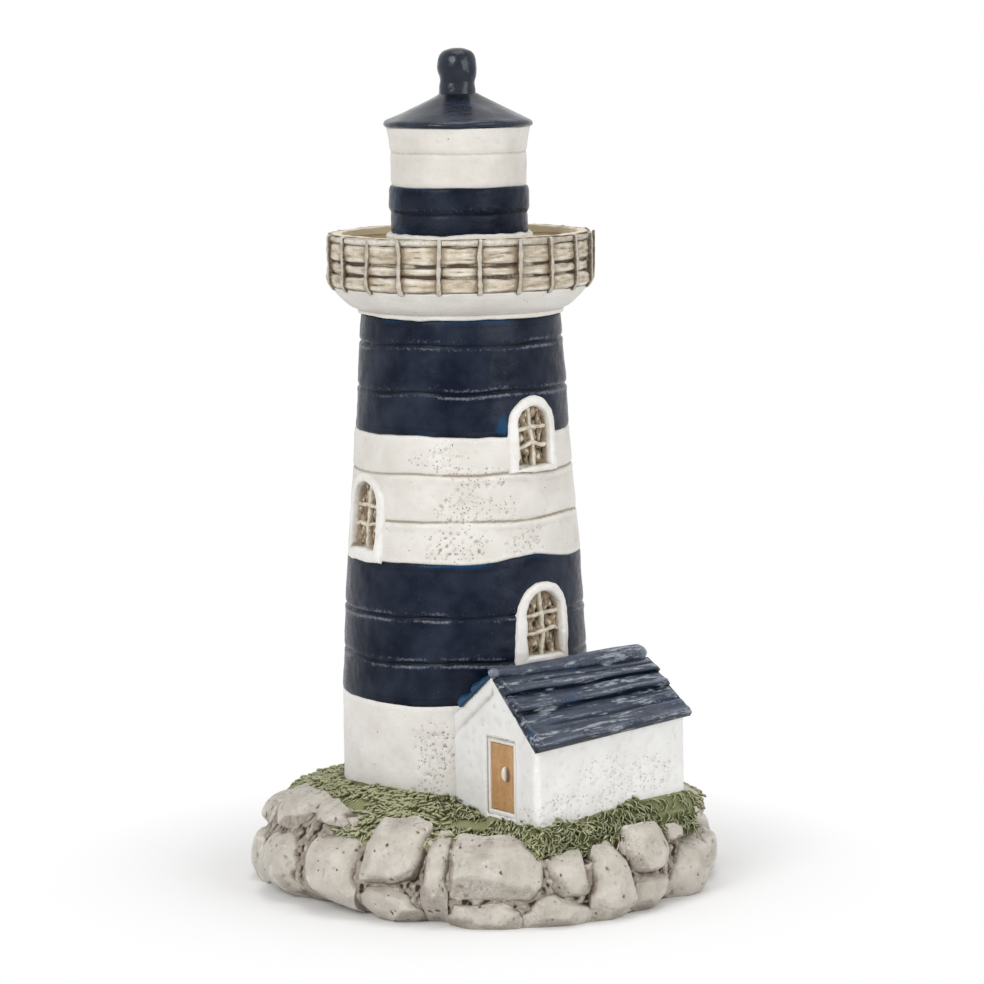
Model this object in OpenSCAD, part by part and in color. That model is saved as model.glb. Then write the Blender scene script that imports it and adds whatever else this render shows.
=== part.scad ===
// Lighthouse ornament: a striped round tower with a galleried lantern, standing in a ring of
// field stones, with a small gabled cottage against its foot.
// Millimetres. +Z is up and -Y is the front. The origin is on the tower's axis, on the shelf.

/* [Base] */
// Sideways place of the middle of the stone ring
base_x = 4.8; // [2:0.2:7]
// Front to back place of the middle of the stone ring
base_y = -4.4; // [-6:0.2:-2]
// Depth of the stone ring at its belly, from the cast plinth outwards
stone_depth = 11.6; // [11:0.2:14]
// Height of the plinth's top above the shelf
core_top = 14; // [12:0.5:15]
// Thickness of the felt under the plinth
felt_t = 1; // [0.6:0.1:2]
// Width of bare plinth left round the felt
felt_margin = 3; // [1:0.5:8]
// Distance from the tower's wall at the turf to the belly of the stone ring
ring_reach = 28.1; // [28:0.1:30]
// Height at which the stone ring is widest
ring_belly_z = 7; // [6:0.5:10]
// How far the stones draw in from the belly to the shelf
ring_foot_draw = 1.6; // [1:0.2:4]
// How far the stones draw in from the belly to the turf
ring_top_draw = 9.5; // [8:0.5:11]
// How far the ring swells forward under the cottage's near corner
ring_swell = 3; // [0:0.5:7]
// Turn of that swelling from the front
swell_turn = 14; // [4:1:16]
// How much further the foot of the stones draws in at the left of the front
left_foot_draw = 4.5; // [0:0.5:6]
// Turn of that drawing in from the front
left_draw_turn = -48; // [-60:1:-40]
// Height of the highest stones
ring_top_z = 24.5; // [23:0.5:27]
// Open joint between one stone and the next
stone_gap = 0.4; // [0.2:0.1:0.8]
// How far a stone's face rounds back at its edges
stone_round = 3.4; // [2:0.2:5]

/* [Turf] */
// Height of the turf at the stones
turf_edge_z = 18.4; // [17:0.2:20]
// Height of the turf at the tower's wall
turf_wall_z = 21.2; // [20:0.2:24]
// How far the turf climbs further on the tower's left
turf_climb = 6; // [2:0.5:7]
// Height of the tussocks that stand up out of the turf
tussock_h = 1.5; // [0.5:0.1:2.2]
// Width of the turf strip along the cottage's walls
strip_w = 3; // [2:0.2:3.4]
// Height of the strip above the plinth at the cottage's near corner
strip_near_h = 7.6; // [6:0.2:9]
// Height of the strip above the plinth at the cottage's far corner
strip_far_h = 10; // [8:0.2:11]

/* [Tower] */
// Radius of the tower's wall at the turf
tower_foot_r = 29.9; // [28:0.1:31]
// How far the white foot draws in towards its top
foot_taper = 0.1; // [0:0.1:0.6]
// How far the lower navy band draws in
lower_taper = 1.7; // [1:0.1:2.2]
// How far the white middle draws in
middle_taper = 2.4; // [1.6:0.1:2.8]
// How far the upper navy band draws in
upper_taper = 1.7; // [1:0.1:2.2]
// Height of the white foot, from the plinth
foot_h = 31.8; // [30:0.2:33]
// Height of the lower navy band
lower_h = 33.1; // [32:0.1:35]
// Height of the white middle
middle_h = 30.2; // [29:0.1:32]
// Height of the upper navy band
upper_h = 27.2; // [26:0.1:29]
// Depth of the joints between the courses
course_depth = 0.55; // [0.2:0.05:0.8]
// Height of the joints between the courses
course_gap = 0.9; // [0.4:0.1:1.4]
// Radius of the spigots that join the drums
spigot_r = 9; // [6:0.5:11]
// Height of the spigots that join the drums
spigot_h = 3; // [2:0.5:4]
// Clearance of pieces that fit into or against each other
fit = 0.15; // [0.1:0.01:0.25]

/* [Windows] */
// Turn of the two right-hand windows from the front
right_window_turn = 41.5; // [36:0.5:42]
// Turn of the left-hand window from the front
left_window_turn = -59.5; // [-70:0.5:-55]
// Height of the upper window's foot above the foot of the white middle
upper_window_rise = 21.2; // [20:0.1:22]
// Height of the left window's foot above the foot of the lower navy band
left_window_rise = 32.7; // [31:0.1:33]
// Height of the lower window's foot above the foot of the lower navy band
lower_window_rise = 8.8; // [8.2:0.1:10]
// Width of the upper window's surround
upper_window_w = 14.2; // [13:0.2:16]
// Height of the upper window's surround
upper_window_h = 17.8; // [17:0.2:19]
// Height of the upper window's sill
upper_sill_h = 1.2; // [0.8:0.1:2]
// Width of the left window's surround
left_window_w = 15.4; // [14:0.2:16]
// Height of the left window's surround
left_window_h = 21; // [20:0.2:22]
// Height of the left window's sill
left_sill_h = 3; // [2:0.1:4]
// Width of the lower window's surround
lower_window_w = 15.4; // [14:0.2:16]
// Height of the lower window's surround
lower_window_h = 19.4; // [18:0.2:20]
// Height of the lower window's sill
lower_sill_h = 2; // [1:0.1:3]
// Width of the plaster round the openings
border_w = 2.2; // [1.6:0.1:2.6]
// Depth of the windows' pockets at the middle
pocket_depth = 3.6; // [3:0.1:4.5]
// How far the surrounds stand out of the wall
surround_proud = 0.9; // [0.5:0.1:1.3]
// Thickness of the dark panel behind each lattice
pane_t = 0.8; // [0.5:0.1:1]
// Thickness of the lattices
lattice_t = 1; // [0.6:0.1:1.2]
// Width of the lattice bars
lattice_bar = 1.1; // [0.8:0.1:1.5]

/* [Gallery] */
// Height of the cove under the gallery
corbel_h = 6.9; // [6:0.1:8]
// How far the cove's upper edge lies inside the ledge above it
corbel_inset = 0.3; // [0.1:0.1:1]
// Height of the ledge at the top of the cove
ledge_h = 1.2; // [0.8:0.1:2]
// How far the parapet's boarding stands out from the tower's wall below the gallery
gallery_reach = 7.7; // [7:0.1:8.5]
// Thickness of the parapet's wall inside the boarding
parapet_t = 2.3; // [1.8:0.1:3]
// Thickness of the hoops of boarding on the parapet
hoop_t = 0.8; // [0.5:0.1:1.2]
// Height of the parapet's wall, from the ledge to the top rail
parapet_h = 10.9; // [10:0.1:12]
// Height of the top rail
top_rail_h = 1.6; // [1:0.1:2.2]
// Thickness of the deck above the ledge
deck_h = 7.3; // [6:0.1:8]
// Height of the lower hoop's foot above the ledge
lower_hoop_z = 0.7; // [0.5:0.1:1]
// Height of the lower hoop
lower_hoop_h = 2.8; // [2.4:0.1:3]
// Gap between one hoop and the next
hoop_gap = 0.7; // [0.4:0.1:0.8]
// Height of the thin hoop
thin_hoop_h = 1.8; // [1.2:0.1:2]
// Height of the wide hoop
wide_hoop_h = 4; // [3.5:0.1:4.2]
// Number of upright posts on the parapet
post_count = 21; // [15:1:27]
// Width of the posts
post_w = 1.4; // [1:0.1:2]
// Thickness of the posts
post_t = 0.8; // [0.5:0.1:1]

/* [Lantern] */
// Radius of the white collar at the lantern's foot
collar_r = 17.5; // [17:0.1:19]
// Height of the white collar above the deck
collar_h = 4.7; // [3.5:0.1:6]
// Radius of the navy lower part of the lantern
lantern_lower_r = 16.7; // [16:0.1:17]
// Height of the navy lower part of the lantern
lantern_lower_h = 11.7; // [11:0.1:13]
// Radius of the white upper part of the lantern
lantern_upper_r = 16.3; // [15.5:0.1:16.7]
// Height of the white upper part of the lantern
lantern_upper_h = 13.9; // [13:0.1:15]
// Radius of the roof's rim
roof_r = 17.9; // [17.2:0.1:19]
// Height of the roof's rim
roof_rim_h = 1.5; // [1:0.1:2]
// Height of the roof from the rim to the finial
roof_rise = 6.4; // [5.5:0.1:7.5]
// Radius of the finial's neck
neck_r = 4.4; // [4:0.1:5]
// Height of the finial's neck
neck_h = 3.7; // [3:0.1:4.5]
// Radius of the finial's ball
ball_r = 4.7; // [4.5:0.1:5.2]

/* [Cottage] */
// Turn of the cottage's ridge from the X axis
cottage_turn = 39; // [37:0.5:41]
// How far the cottage's inner side runs into the tower's wall
cottage_bite = 8; // [7:0.1:9]
// Distance of the door gable from the tower's axis, along the ridge
gable_out = 20.6; // [19.5:0.1:21.5]
// Length of the cottage's walls
cottage_l = 44.2; // [42:0.2:46]
// Half of the cottage's width
cottage_half_w = 15.3; // [14.5:0.1:15.8]
// Height of the gable's peak above the plinth
gable_h = 40.4; // [39:0.2:41.2]
// Slope of the roof's outer side
roof_pitch = 41; // [39:0.5:43]
// Slope of the roof's side towards the tower
inner_pitch = 38; // [36:0.5:41]
// Overhang of the roof at the gables
verge = 1.8; // [1:0.1:2.5]
// Overhang of the roof at the eaves
eave = 1.4; // [1:0.1:2.2]
// Thickness of a roof board at its upper edge
board_thin = 1; // [0.8:0.1:1.2]
// Thickness of a roof board at its lower edge
board_thick = 2; // [1.6:0.1:2.4]
// Half width of the slot for the ridge roll
roll_slot = 1.7; // [1.4:0.1:2.2]
// Radius of the ridge roll
roll_r = 2.3; // [2:0.1:2.8]
// Distance of the door from the gable's outer corner
door_in = 8.7; // [7.8:0.1:9.2]
// Width of the door
door_w = 8.6; // [8:0.1:9.4]
// Height of the door
door_h = 16; // [15:0.2:17]
// Height of the door's foot above the plinth
door_foot = 9.6; // [9:0.1:11]
// Width of the door's frame
frame_w = 1.1; // [0.8:0.1:1.4]
// Depth of the doorway
doorway_depth = 1.8; // [1.4:0.1:2.2]
// Thickness of the door
door_t = 1; // [0.7:0.1:1.2]
// Radius of the door's knob
knob_r = 0.9; // [0.7:0.1:1.1]

/* [Hidden] */

$fn = 96;
eps = 0.01;
far = 200;

// How far the turf strips reach in under the cottage's walls before they are cut off there
strip_root = 2;
// Distance from one tussock to the next along a strip
strip_pitch = 2.4;

// Radii of the ring's belly, of the plinth, and of the tower at the top of each drum
ring_r = tower_foot_r + ring_reach;
core_r = ring_r - stone_depth;
foot_top_r = tower_foot_r - foot_taper;
lower_top_r = foot_top_r - lower_taper;
middle_top_r = lower_top_r - middle_taper;
upper_top_r = middle_top_r - upper_taper;
parapet_r = upper_top_r + gallery_reach;
ledge_r = parapet_r - hoop_t;
parapet_inner_r = ledge_r - parapet_t;
ridge_out = tower_foot_r + cottage_half_w - cottage_bite;

// Heights of the joints up the tower
foot_top = core_top + foot_h;
lower_top = foot_top + lower_h;
middle_top = lower_top + middle_h;
upper_top = middle_top + upper_h;
ledge_foot = upper_top + corbel_h - ledge_h;
gallery_z = upper_top + corbel_h;
deck_top = gallery_z + deck_h;
parapet_top = gallery_z + parapet_h;
rail_top = parapet_top + top_rail_h;
collar_top = deck_top + collar_h;
lantern_mid = collar_top + lantern_lower_h;
lantern_top = lantern_mid + lantern_upper_h;
finial_z = lantern_top + roof_rim_h + roof_rise;
ball_z = finial_z + neck_h + sqrt(pow(ball_r, 2) - pow(neck_r - 0.3, 2));

// Colours
navy = [0.12, 0.14, 0.24];
plaster = [0.92, 0.90, 0.87];
cream = [0.78, 0.73, 0.64];
shade = [0.25, 0.20, 0.14];
rock = [0.74, 0.71, 0.65];
rock_dark = [0.62, 0.58, 0.52];
grass = [0.43, 0.49, 0.29];
ochre = [0.78, 0.59, 0.36];
sand = [0.90, 0.82, 0.67];

// Radius of the tower's wall at a height
function wall_r(z) = lookup(z, [
    [core_top, tower_foot_r], [foot_top, foot_top_r], [lower_top, lower_top_r],
    [middle_top, middle_top_r], [upper_top, upper_top_r]
]);

// Outline of a drum from radius r0 to r1 over height h, with a joint at each height in joints
function drum_outline(r0, r1, h, joints) = concat(
    [[0, 0], [r0, 0]],
    [for (z = joints) for (k = [-1, 0, 1])
        let (y = z + k * course_gap / 2)
        [r0 + (r1 - r0) * y / h - (k == 0 ? course_depth : 0), y]],
    [[r1, h], [0, h]]
);

// A drum with a spigot on top and a socket below
module drum(z, h, r0, r1, joints, spigot = true, socket = true) {
    translate([0, 0, z]) difference() {
        union() {
            rotate_extrude() polygon(drum_outline(r0, r1, h, joints));
            if (spigot) translate([0, 0, h - eps]) cylinder(r = spigot_r, h = spigot_h + eps);
        }
        if (socket) translate([0, 0, -1]) cylinder(r = spigot_r + fit, h = spigot_h + 1 + 2 * fit);
    }
}

// Base

module base_felt() {
    color(grass * 0.7) translate([base_x, base_y, 0]) cylinder(r = core_r - felt_margin, h = felt_t);
}

module base_plinth() {
    color(rock_dark) {
        translate([base_x, base_y, felt_t]) cylinder(r = core_r, h = core_top - felt_t);
        translate([0, 0, core_top - eps]) cylinder(r = spigot_r, h = spigot_h + eps);
    }
}

// Outer radius of the stone ring at angle a and height z
function stones_r(a, z) = ring_r + ring_swell * pow(cos(min(90, abs(a - swell_turn) * 2.4)), 2)
    - (z < ring_belly_z
        ? (ring_foot_draw + left_foot_draw * pow(cos(min(90, abs(a - left_draw_turn) * 1.8)), 2))
            * pow((ring_belly_z - z) / ring_belly_z, 2)
        : ring_top_draw * pow((z - ring_belly_z) / (ring_top_z - ring_belly_z), 1.5));

// Points of one stone that fills the ring from angle a0 to a1, and from share h0 to share h1 of
// the ring's height. Angles run from the front towards +X.
function stone_points(a0, a1, h0, h1) =
    let (
        z0 = h0 * ring_top_z,
        z1 = h1 * ring_top_z,
        half_a = (a1 - a0 - stone_gap / core_r * 180 / PI) / 2,
        mid_a = (a0 + a1) / 2,
        low = z0 == 0 ? 0 : z0 + stone_gap / 2,
        half_z = (z1 - stone_gap / 2 - low) / 2,
        mid_z = low + half_z,
        back_r = (core_r + fit) / cos(half_a),
        rough = rands(-0.5, 0.5, 36, round(100 + a0 * 7 + h1 * 73)),
        steps = [-1, -0.72, -0.3, 0.3, 0.72, 1]
    )
    concat(
        [for (i = [0:5]) for (j = [0:5])
            let (
                u = steps[i] * (1 - 0.13 * pow(steps[j], 4)),
                v = steps[j] * (1 - 0.16 * pow(steps[i], 4)),
                z = mid_z + v * half_z,
                edge = max(abs(steps[i]), abs(steps[j])),
                a = mid_a + u * half_a,
                r = stones_r(a, z) - stone_round * pow(edge, 5)
                    + (rough[i * 6 + j] - 0.6) * (1 - pow(edge, 5))
            )
            ring_point(r, a, z)],
        [for (u = [-1, 1]) for (v = [-0.86, 0.86])
            ring_point(back_r, mid_a + u * half_a, mid_z + v * half_z)]
    );

function ring_point(r, a, z) = [base_x + r * sin(a), base_y - r * cos(a), z];

module stone(a0, a1, h0, h1, tint = rock) {
    pts = stone_points(a0, a1, h0, h1);
    color(tint) difference() {
        hull() polyhedron(points = pts, faces = [[for (i = [0:len(pts) - 1]) i]]);
        turf_bed(0, core_top - fit);
    }
}

module stone_left_upper() stone(-85, -57.5, 0.62, 1);
module stone_left_cap() stone(-57.5, -40, 0.776, 1);
module stone_left_lower() stone(-78, -54, 0, 0.62, rock_dark);
module stone_front_left_block() stone(-54, -34.2, 0, 0.776);
module stone_front_left_upper() stone(-34.2, -16, 0.359, 0.939);
module stone_front_left_toe() stone(-34.2, -16, 0, 0.359, rock_dark);
module stone_front_wedge() stone(-16, -9.4, 0, 0.833);
module stone_front_slab() stone(-9.4, 14.2, 0.253, 0.808);
module stone_front_toe() stone(-9.4, 7.6, 0, 0.253, rock_dark);
module stone_front_right_toe() stone(7.6, 24.4, 0, 0.253, rock_dark);
module stone_front_right_cobble() stone(14.2, 24.4, 0.253, 0.653);
module stone_front_right_block() stone(24.4, 36.6, 0, 0.678);
module stone_right_boulder() stone(36.6, 52.2, 0.367, 0.873);
module stone_right_toe() stone(36.6, 52.2, 0, 0.367, rock_dark);
module stone_right_lower() stone(52.2, 75, 0, 0.531, rock_dark);
module stone_right_pebble() stone(52.2, 61.6, 0.531, 0.8);
module stone_right_upper() stone(61.6, 85, 0.531, 0.922);

// Stones of the back of the ring, a course of count stones from angle a0 to a1
module back_course(count, a0, a1, h0, h1, sway, tint) {
    pitch = (a1 - a0) / count;
    for (i = [0:count - 1])
        stone(a0 + i * pitch, a0 + (i + 1) * pitch, h0, h1 + sway * sin(i * 137), tint);
}

module stones_back_lower() back_course(9, 75, 282, 0, 0.465, 0.033, rock_dark);
module stones_back_upper() back_course(8, 85, 275, 0.506, 0.824, 0.049, rock);

// Turf

// Height of the turf at angle a and at share s of the way from the stones to the tower's wall
function turf_z(a, s) = turf_edge_z + (turf_wall_z - turf_edge_z) * sin(s * 90)
    + turf_climb * max(0, cos(a + 75)) * (0.25 + 0.75 * s);

// Height that the tussock at column i of row k adds; every second place has one
function tussock(i, k) = ((i + k) % 2) * tussock_h * (0.75 + 0.25 * sin(i * 137 + k * 71));

module turf_heap() {
    turns = 84;
    rings = 8;
    outer = core_r - fit;
    inner = tower_foot_r * 0.8;
    top = [for (k = [0:rings]) for (i = [0:turns - 1])
        let (a = i * 360 / turns, r = outer + (inner - outer) * k / rings)
        ring_point(r, a, turf_z(a, k / rings) + (k == 0 ? 0 : tussock(i, k)))];
    foot = [for (i = [0:turns - 1]) ring_point(outer, i * 360 / turns, core_top)];
    crown = [[base_x, base_y, turf_wall_z + turf_climb]];
    n = len(top);
    polyhedron(
        points = concat(top, foot, crown),
        faces = concat(
            [for (k = [0:rings - 1]) for (i = [0:turns - 1]) for (t = [0, 1])
                let (j = (i + 1) % turns, p = k * turns, q = (k + 1) * turns)
                t == 0 ? [p + i, q + i, p + j] : [p + j, q + i, q + j]],
            [for (i = [0:turns - 1])
                let (j = (i + 1) % turns, p = rings * turns) [p + i, n + turns, p + j]],
            [for (i = [0:turns - 1]) for (t = [0, 1])
                let (j = (i + 1) % turns) t == 0 ? [i, j, n + i] : [j, n + j, n + i]],
            [[for (i = [0:turns - 1]) n + i]]
        ),
        convexity = 4
    );
}

// The ground that the cottage and its turf strip stand on, less a clearance at its edges
module turf_bed(inset, z) {
    reach = strip_w - inset;
    cottage_place() translate([-reach, -reach, z])
        cube([cottage_l + reach + fit, 2 * cottage_half_w + reach + fit, far]);
}

// Section of a strip at distance x along its wall, of height h at the wall, with tussock number i on it
function strip_section(x, h, i) = [
    [x, fit - strip_w, core_top],
    [x, strip_root, core_top],
    [x, strip_root, core_top + h],
    [x, -strip_w / 2, core_top + h * 0.84 + tussock(i, 1)],
    [x, fit - strip_w, core_top + h * 0.62 + tussock(i, 0) / 2]
];

// A strip of turf along a wall in the XZ plane, from height h0 at its start to h1 at its end
module strip_run(length, h0, h1) {
    steps = round(length / strip_pitch);
    sections = [for (i = [0:steps])
        strip_section(length * i / steps, h0 + (h1 - h0) * i / steps, i)];
    sides = len(sections[0]);
    polyhedron(
        points = [for (section = sections) for (point = section) point],
        faces = concat(
            [[for (k = [0:sides - 1]) k], [for (k = [sides - 1:-1:0]) steps * sides + k]],
            [for (i = [0:steps - 1]) for (k = [0:sides - 1]) for (t = [0, 1])
                let (p = i * sides + k, q = i * sides + (k + 1) % sides)
                t == 0 ? [p, p + sides, q + sides] : [p, q + sides, q]]
        ),
        convexity = 4
    );
}

module turf_strip() {
    intersection() {
        cottage_place() translate([fit - strip_w, 0, 0])
            strip_run(cottage_l + strip_w - fit, strip_near_h, strip_far_h);
        translate([base_x, base_y, 0]) cylinder(r = ring_r - 2, h = far);
    }
    cottage_place() translate([0, cottage_half_w, 0]) rotate([0, 0, -90])
        strip_run(cottage_half_w + strip_w - fit, strip_near_h * 1.1, strip_near_h);
}

module turf() {
    color(grass) difference() {
        union() {
            turf_heap();
            turf_strip();
        }
        translate([0, 0, core_top - 1]) cylinder(r = tower_foot_r + fit, h = far);
        cottage_place() translate([-fit, -fit, 0])
            cube([cottage_l + 2 * fit, 2 * cottage_half_w + 2 * fit, far]);
    }
}

// Tower

module tower_foot() {
    color(plaster) drum(core_top, foot_h, tower_foot_r, foot_top_r, []);
}

module tower_lower_band() {
    color(navy) difference() {
        drum(foot_top, lower_h, foot_top_r, lower_top_r, [lower_h * 0.3, lower_h * 0.62]);
        window_pockets();
    }
}

module tower_middle() {
    color(plaster) difference() {
        drum(lower_top, middle_h, lower_top_r, middle_top_r, [middle_h * 0.34, middle_h * 0.7]);
        window_pockets();
    }
}

module tower_upper_band() {
    color(navy) difference() {
        drum(middle_top, upper_h, middle_top_r, upper_top_r, [upper_h * 0.37, upper_h * 0.78]);
        window_pockets();
    }
}

// Windows

// Each window as its turn, its foot's height, its width, its height and its sill's height
upper_window = [right_window_turn, lower_top + upper_window_rise, upper_window_w, upper_window_h, upper_sill_h];
lower_window = [right_window_turn, foot_top + lower_window_rise, lower_window_w, lower_window_h, lower_sill_h];
left_window = [left_window_turn, foot_top + left_window_rise, left_window_w, left_window_h, left_sill_h];

// Radius of the wall at the middle of a window
function window_r(win) = wall_r(win[1] + win[3] / 2);
function opening_w(win) = win[2] - 2 * border_w;
function opening_h(win) = win[3] - win[4] - border_w;

// A flat block with a round head, w wide, h high and t thick, with its back at y = 0
module arch_block(w, h, t) {
    rotate([90, 0, 0]) linear_extrude(t) {
        translate([-w / 2, 0]) square([w, h - w / 2]);
        translate([0, h - w / 2]) circle(d = w);
    }
}

// Puts a piece made round y = 0 on the floor of a window's pocket
module in_window(win) {
    rotate([0, 0, win[0]]) translate([0, pocket_depth - window_r(win), win[1]]) children();
}

module window_pockets() {
    for (win = [upper_window, lower_window, left_window])
        in_window(win) translate([0, 0, -fit])
            arch_block(win[2] + 2 * fit, win[3] + 2 * fit, 4 * pocket_depth);
}

module surround(win) {
    color(plaster) intersection() {
        in_window(win) difference() {
            arch_block(win[2], win[3], 4 * pocket_depth);
            translate([0, eps, win[4]]) arch_block(opening_w(win), opening_h(win), 5 * pocket_depth);
        }
        translate([0, 0, win[1] - 1]) cylinder(r = window_r(win) + surround_proud, h = win[3] + 2);
    }
}

module lattice(win) {
    w = opening_w(win) - 2 * fit;
    h = opening_h(win) - 2 * fit;
    color(cream) in_window(win) translate([0, -pane_t, win[4] + fit]) difference() {
        arch_block(w, h, lattice_t);
        for (x = [-1, 1]) for (k = [0, 1, 2])
            translate([x * (w - lattice_bar) / 4, 0, lattice_bar + k * (h - lattice_bar) / 3])
                lattice_light(w, h, k);
    }
}

// The hole between two bars of a lattice; the top ones are cut short by the round head
module lattice_light(w, h, k) {
    light_w = (w - 3 * lattice_bar) / 2;
    light_h = (h - lattice_bar) / 3 - lattice_bar;
    drop = k == 2 ? light_h * 0.35 : 0;
    translate([-light_w / 2, -2 * lattice_t, 0]) cube([light_w, 3 * lattice_t, light_h - drop]);
}

module pane(win) {
    color(shade) in_window(win) translate([0, 0, win[4] + fit])
        arch_block(opening_w(win) - 2 * fit, opening_h(win) - 2 * fit, pane_t);
}

module upper_window_surround() surround(upper_window);
module upper_window_lattice() lattice(upper_window);
module upper_window_pane() pane(upper_window);
module lower_window_surround() surround(lower_window);
module lower_window_lattice() lattice(lower_window);
module lower_window_pane() pane(lower_window);
module left_window_surround() surround(left_window);
module left_window_lattice() lattice(left_window);
module left_window_pane() pane(left_window);

// Gallery

module gallery_corbel() {
    h = corbel_h;
    step_h = h - ledge_h;
    cove = [for (k = [0:6]) let (t = k * 15)
        [upper_top_r + 1.2 + (ledge_r - corbel_inset - upper_top_r - 1.2) * (1 - cos(t)), 0.8 + (step_h - 0.8) * sin(t)]];
    color(plaster) translate([0, 0, upper_top]) difference() {
        union() {
            rotate_extrude() polygon(concat(
                [[0, 0], [upper_top_r, 0]], cove, [[ledge_r, step_h], [ledge_r, h], [0, h]]));
            translate([0, 0, h - eps]) cylinder(r = spigot_r, h = spigot_h + eps);
        }
        translate([0, 0, -1]) cylinder(r = spigot_r + fit, h = spigot_h + 1 + 2 * fit);
    }
}

module gallery_deck() {
    color(sand) drum(gallery_z, deck_h, parapet_inner_r - fit, parapet_inner_r - fit, []);
}

// A hoop from radius r0 to r1 and height z0 to z0 + h
module hoop(r0, r1, z0, h) {
    translate([0, 0, z0]) difference() {
        cylinder(r = r1, h = h);
        translate([0, 0, -1]) cylinder(r = r0, h = h + 2);
    }
}

module gallery_parapet() {
    color(sand) hoop(parapet_inner_r, ledge_r, gallery_z, parapet_h);
}

thin_hoop_z = lower_hoop_z + lower_hoop_h + hoop_gap;
wide_hoop_z = thin_hoop_z + thin_hoop_h + hoop_gap;

// Boarding on the outside of the parapet, held just off it by its glue line
module boarding(z, h) {
    color(cream) hoop(ledge_r + fit, parapet_r, gallery_z + z, h);
}

module gallery_lower_hoop() boarding(lower_hoop_z, lower_hoop_h);
module gallery_thin_hoop() boarding(thin_hoop_z, thin_hoop_h);
module gallery_wide_hoop() boarding(wide_hoop_z, wide_hoop_h);

module gallery_top_rail() {
    color(cream) hoop(parapet_inner_r - 0.4, parapet_r, parapet_top, top_rail_h);
}

module gallery_posts() {
    foot = gallery_z + lower_hoop_z;
    pitch = 360 / post_count;
    width = post_w / parapet_r * 180 / PI;
    color(cream * 0.9) for (i = [0:post_count - 1])
        rotate([0, 0, (i + 0.5) * pitch - 90 - width / 2]) rotate_extrude(angle = width)
            translate([parapet_r + fit / 2, foot]) square([post_t, rail_top - foot]);
}

// Lantern

module lantern_collar() {
    color(plaster) drum(deck_top, collar_h, collar_r, collar_r, []);
}

module lantern_lower() {
    color(navy) drum(collar_top, lantern_lower_h, lantern_lower_r, lantern_lower_r, [lantern_lower_h * 0.46]);
}

module lantern_upper() {
    color(plaster) drum(lantern_mid, lantern_upper_h, lantern_upper_r, lantern_upper_r, [lantern_upper_h * 0.57]);
}

module lantern_roof() {
    peg_r = neck_r * 0.6;
    color(navy) translate([0, 0, lantern_top]) difference() {
        union() {
            rotate_extrude() polygon([
                [0, 0], [roof_r - 0.9, 0], [roof_r - 0.2, 0.4], [roof_r, roof_rim_h - 0.3],
                [roof_r - 0.6, roof_rim_h + 0.2], [neck_r + 2, roof_rim_h + roof_rise - 1.1],
                [neck_r, roof_rim_h + roof_rise], [0, roof_rim_h + roof_rise]]);
            translate([0, 0, roof_rim_h + roof_rise - eps]) cylinder(r = peg_r, h = neck_h * 0.6);
        }
        translate([0, 0, -1]) cylinder(r = spigot_r + fit, h = spigot_h + 1 + 2 * fit);
    }
}

module finial() {
    color(navy) translate([0, 0, finial_z]) difference() {
        union() {
            cylinder(r = neck_r, h = neck_h - 0.6);
            translate([0, 0, neck_h - 0.6 - eps]) cylinder(r1 = neck_r, r2 = neck_r - 0.3, h = 0.6 + eps);
            intersection() {
                translate([0, 0, ball_z - finial_z]) sphere(r = ball_r);
                translate([0, 0, neck_h - eps]) cylinder(r = 2 * ball_r, h = 3 * ball_r);
            }
        }
        translate([0, 0, -1]) cylinder(r = neck_r * 0.6 + fit, h = neck_h * 0.6 + 1 + fit);
    }
}

// Cottage

// Puts a piece made in the cottage's own frame in place: X along the ridge from the door gable,
// and Y from the outer wall towards the tower
module cottage_place() {
    rotate([0, 0, cottage_turn]) translate([-gable_out, -ridge_out - cottage_half_w, 0]) children();
}

peak_z = core_top + gable_h;

// Slope of one side of the roof: side is -1 for the outer one and 1 for the one towards the tower
function pitch(side) = side < 0 ? roof_pitch : inner_pitch;

// A point on that side: d down from the peak and n out from the wall's top
function slope_point(side, d, n) = [
    cottage_half_w + side * (d * cos(pitch(side)) + n * sin(pitch(side))),
    peak_z - d * sin(pitch(side)) + n * cos(pitch(side))
];

slope_l = (cottage_half_w + eave) / cos(roof_pitch);
board_l = (slope_l - roll_slot) / 3;

module along_ridge(from, length) {
    translate([from, 0, 0]) rotate([90, 0, 90]) linear_extrude(length) children();
}

module clear_of_tower() {
    difference() {
        children();
        cylinder(r = tower_foot_r + fit, h = far);
    }
}

module cottage_walls() {
    w = 2 * cottage_half_w;
    outer_h = peak_z - cottage_half_w * tan(pitch(-1));
    inner_h = peak_z - cottage_half_w * tan(pitch(1));
    color(plaster) clear_of_tower() cottage_place() difference() {
        along_ridge(0, cottage_l)
            polygon([[0, core_top], [w, core_top], [w, inner_h], [cottage_half_w, peak_z], [0, outer_h]]);
        doorway(fit, 0);
    }
}

// The doorway's outline, grown by a clearance, from a depth behind the gable's face outwards
module doorway(grow, back) {
    translate([-1 - back, door_in - frame_w - grow, core_top + door_foot - frame_w - grow])
        cube([doorway_depth + 1 + grow, door_w + 2 * frame_w + 2 * grow, door_h + 2 * frame_w + 2 * grow]);
}

module roof_board(side, k) {
    top = roll_slot + k * board_l;
    gap = k == 0 ? 0 : fit / 2;
    foot = top + board_l - (k == 2 ? 0 : fit / 2);
    color(navy) clear_of_tower() cottage_place() along_ridge(-verge, cottage_l + 2 * verge)
        polygon([
            slope_point(side, top + gap, 0), slope_point(side, foot, 0),
            slope_point(side, foot, board_thick), slope_point(side, top + gap, board_thin)]);
}

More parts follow.
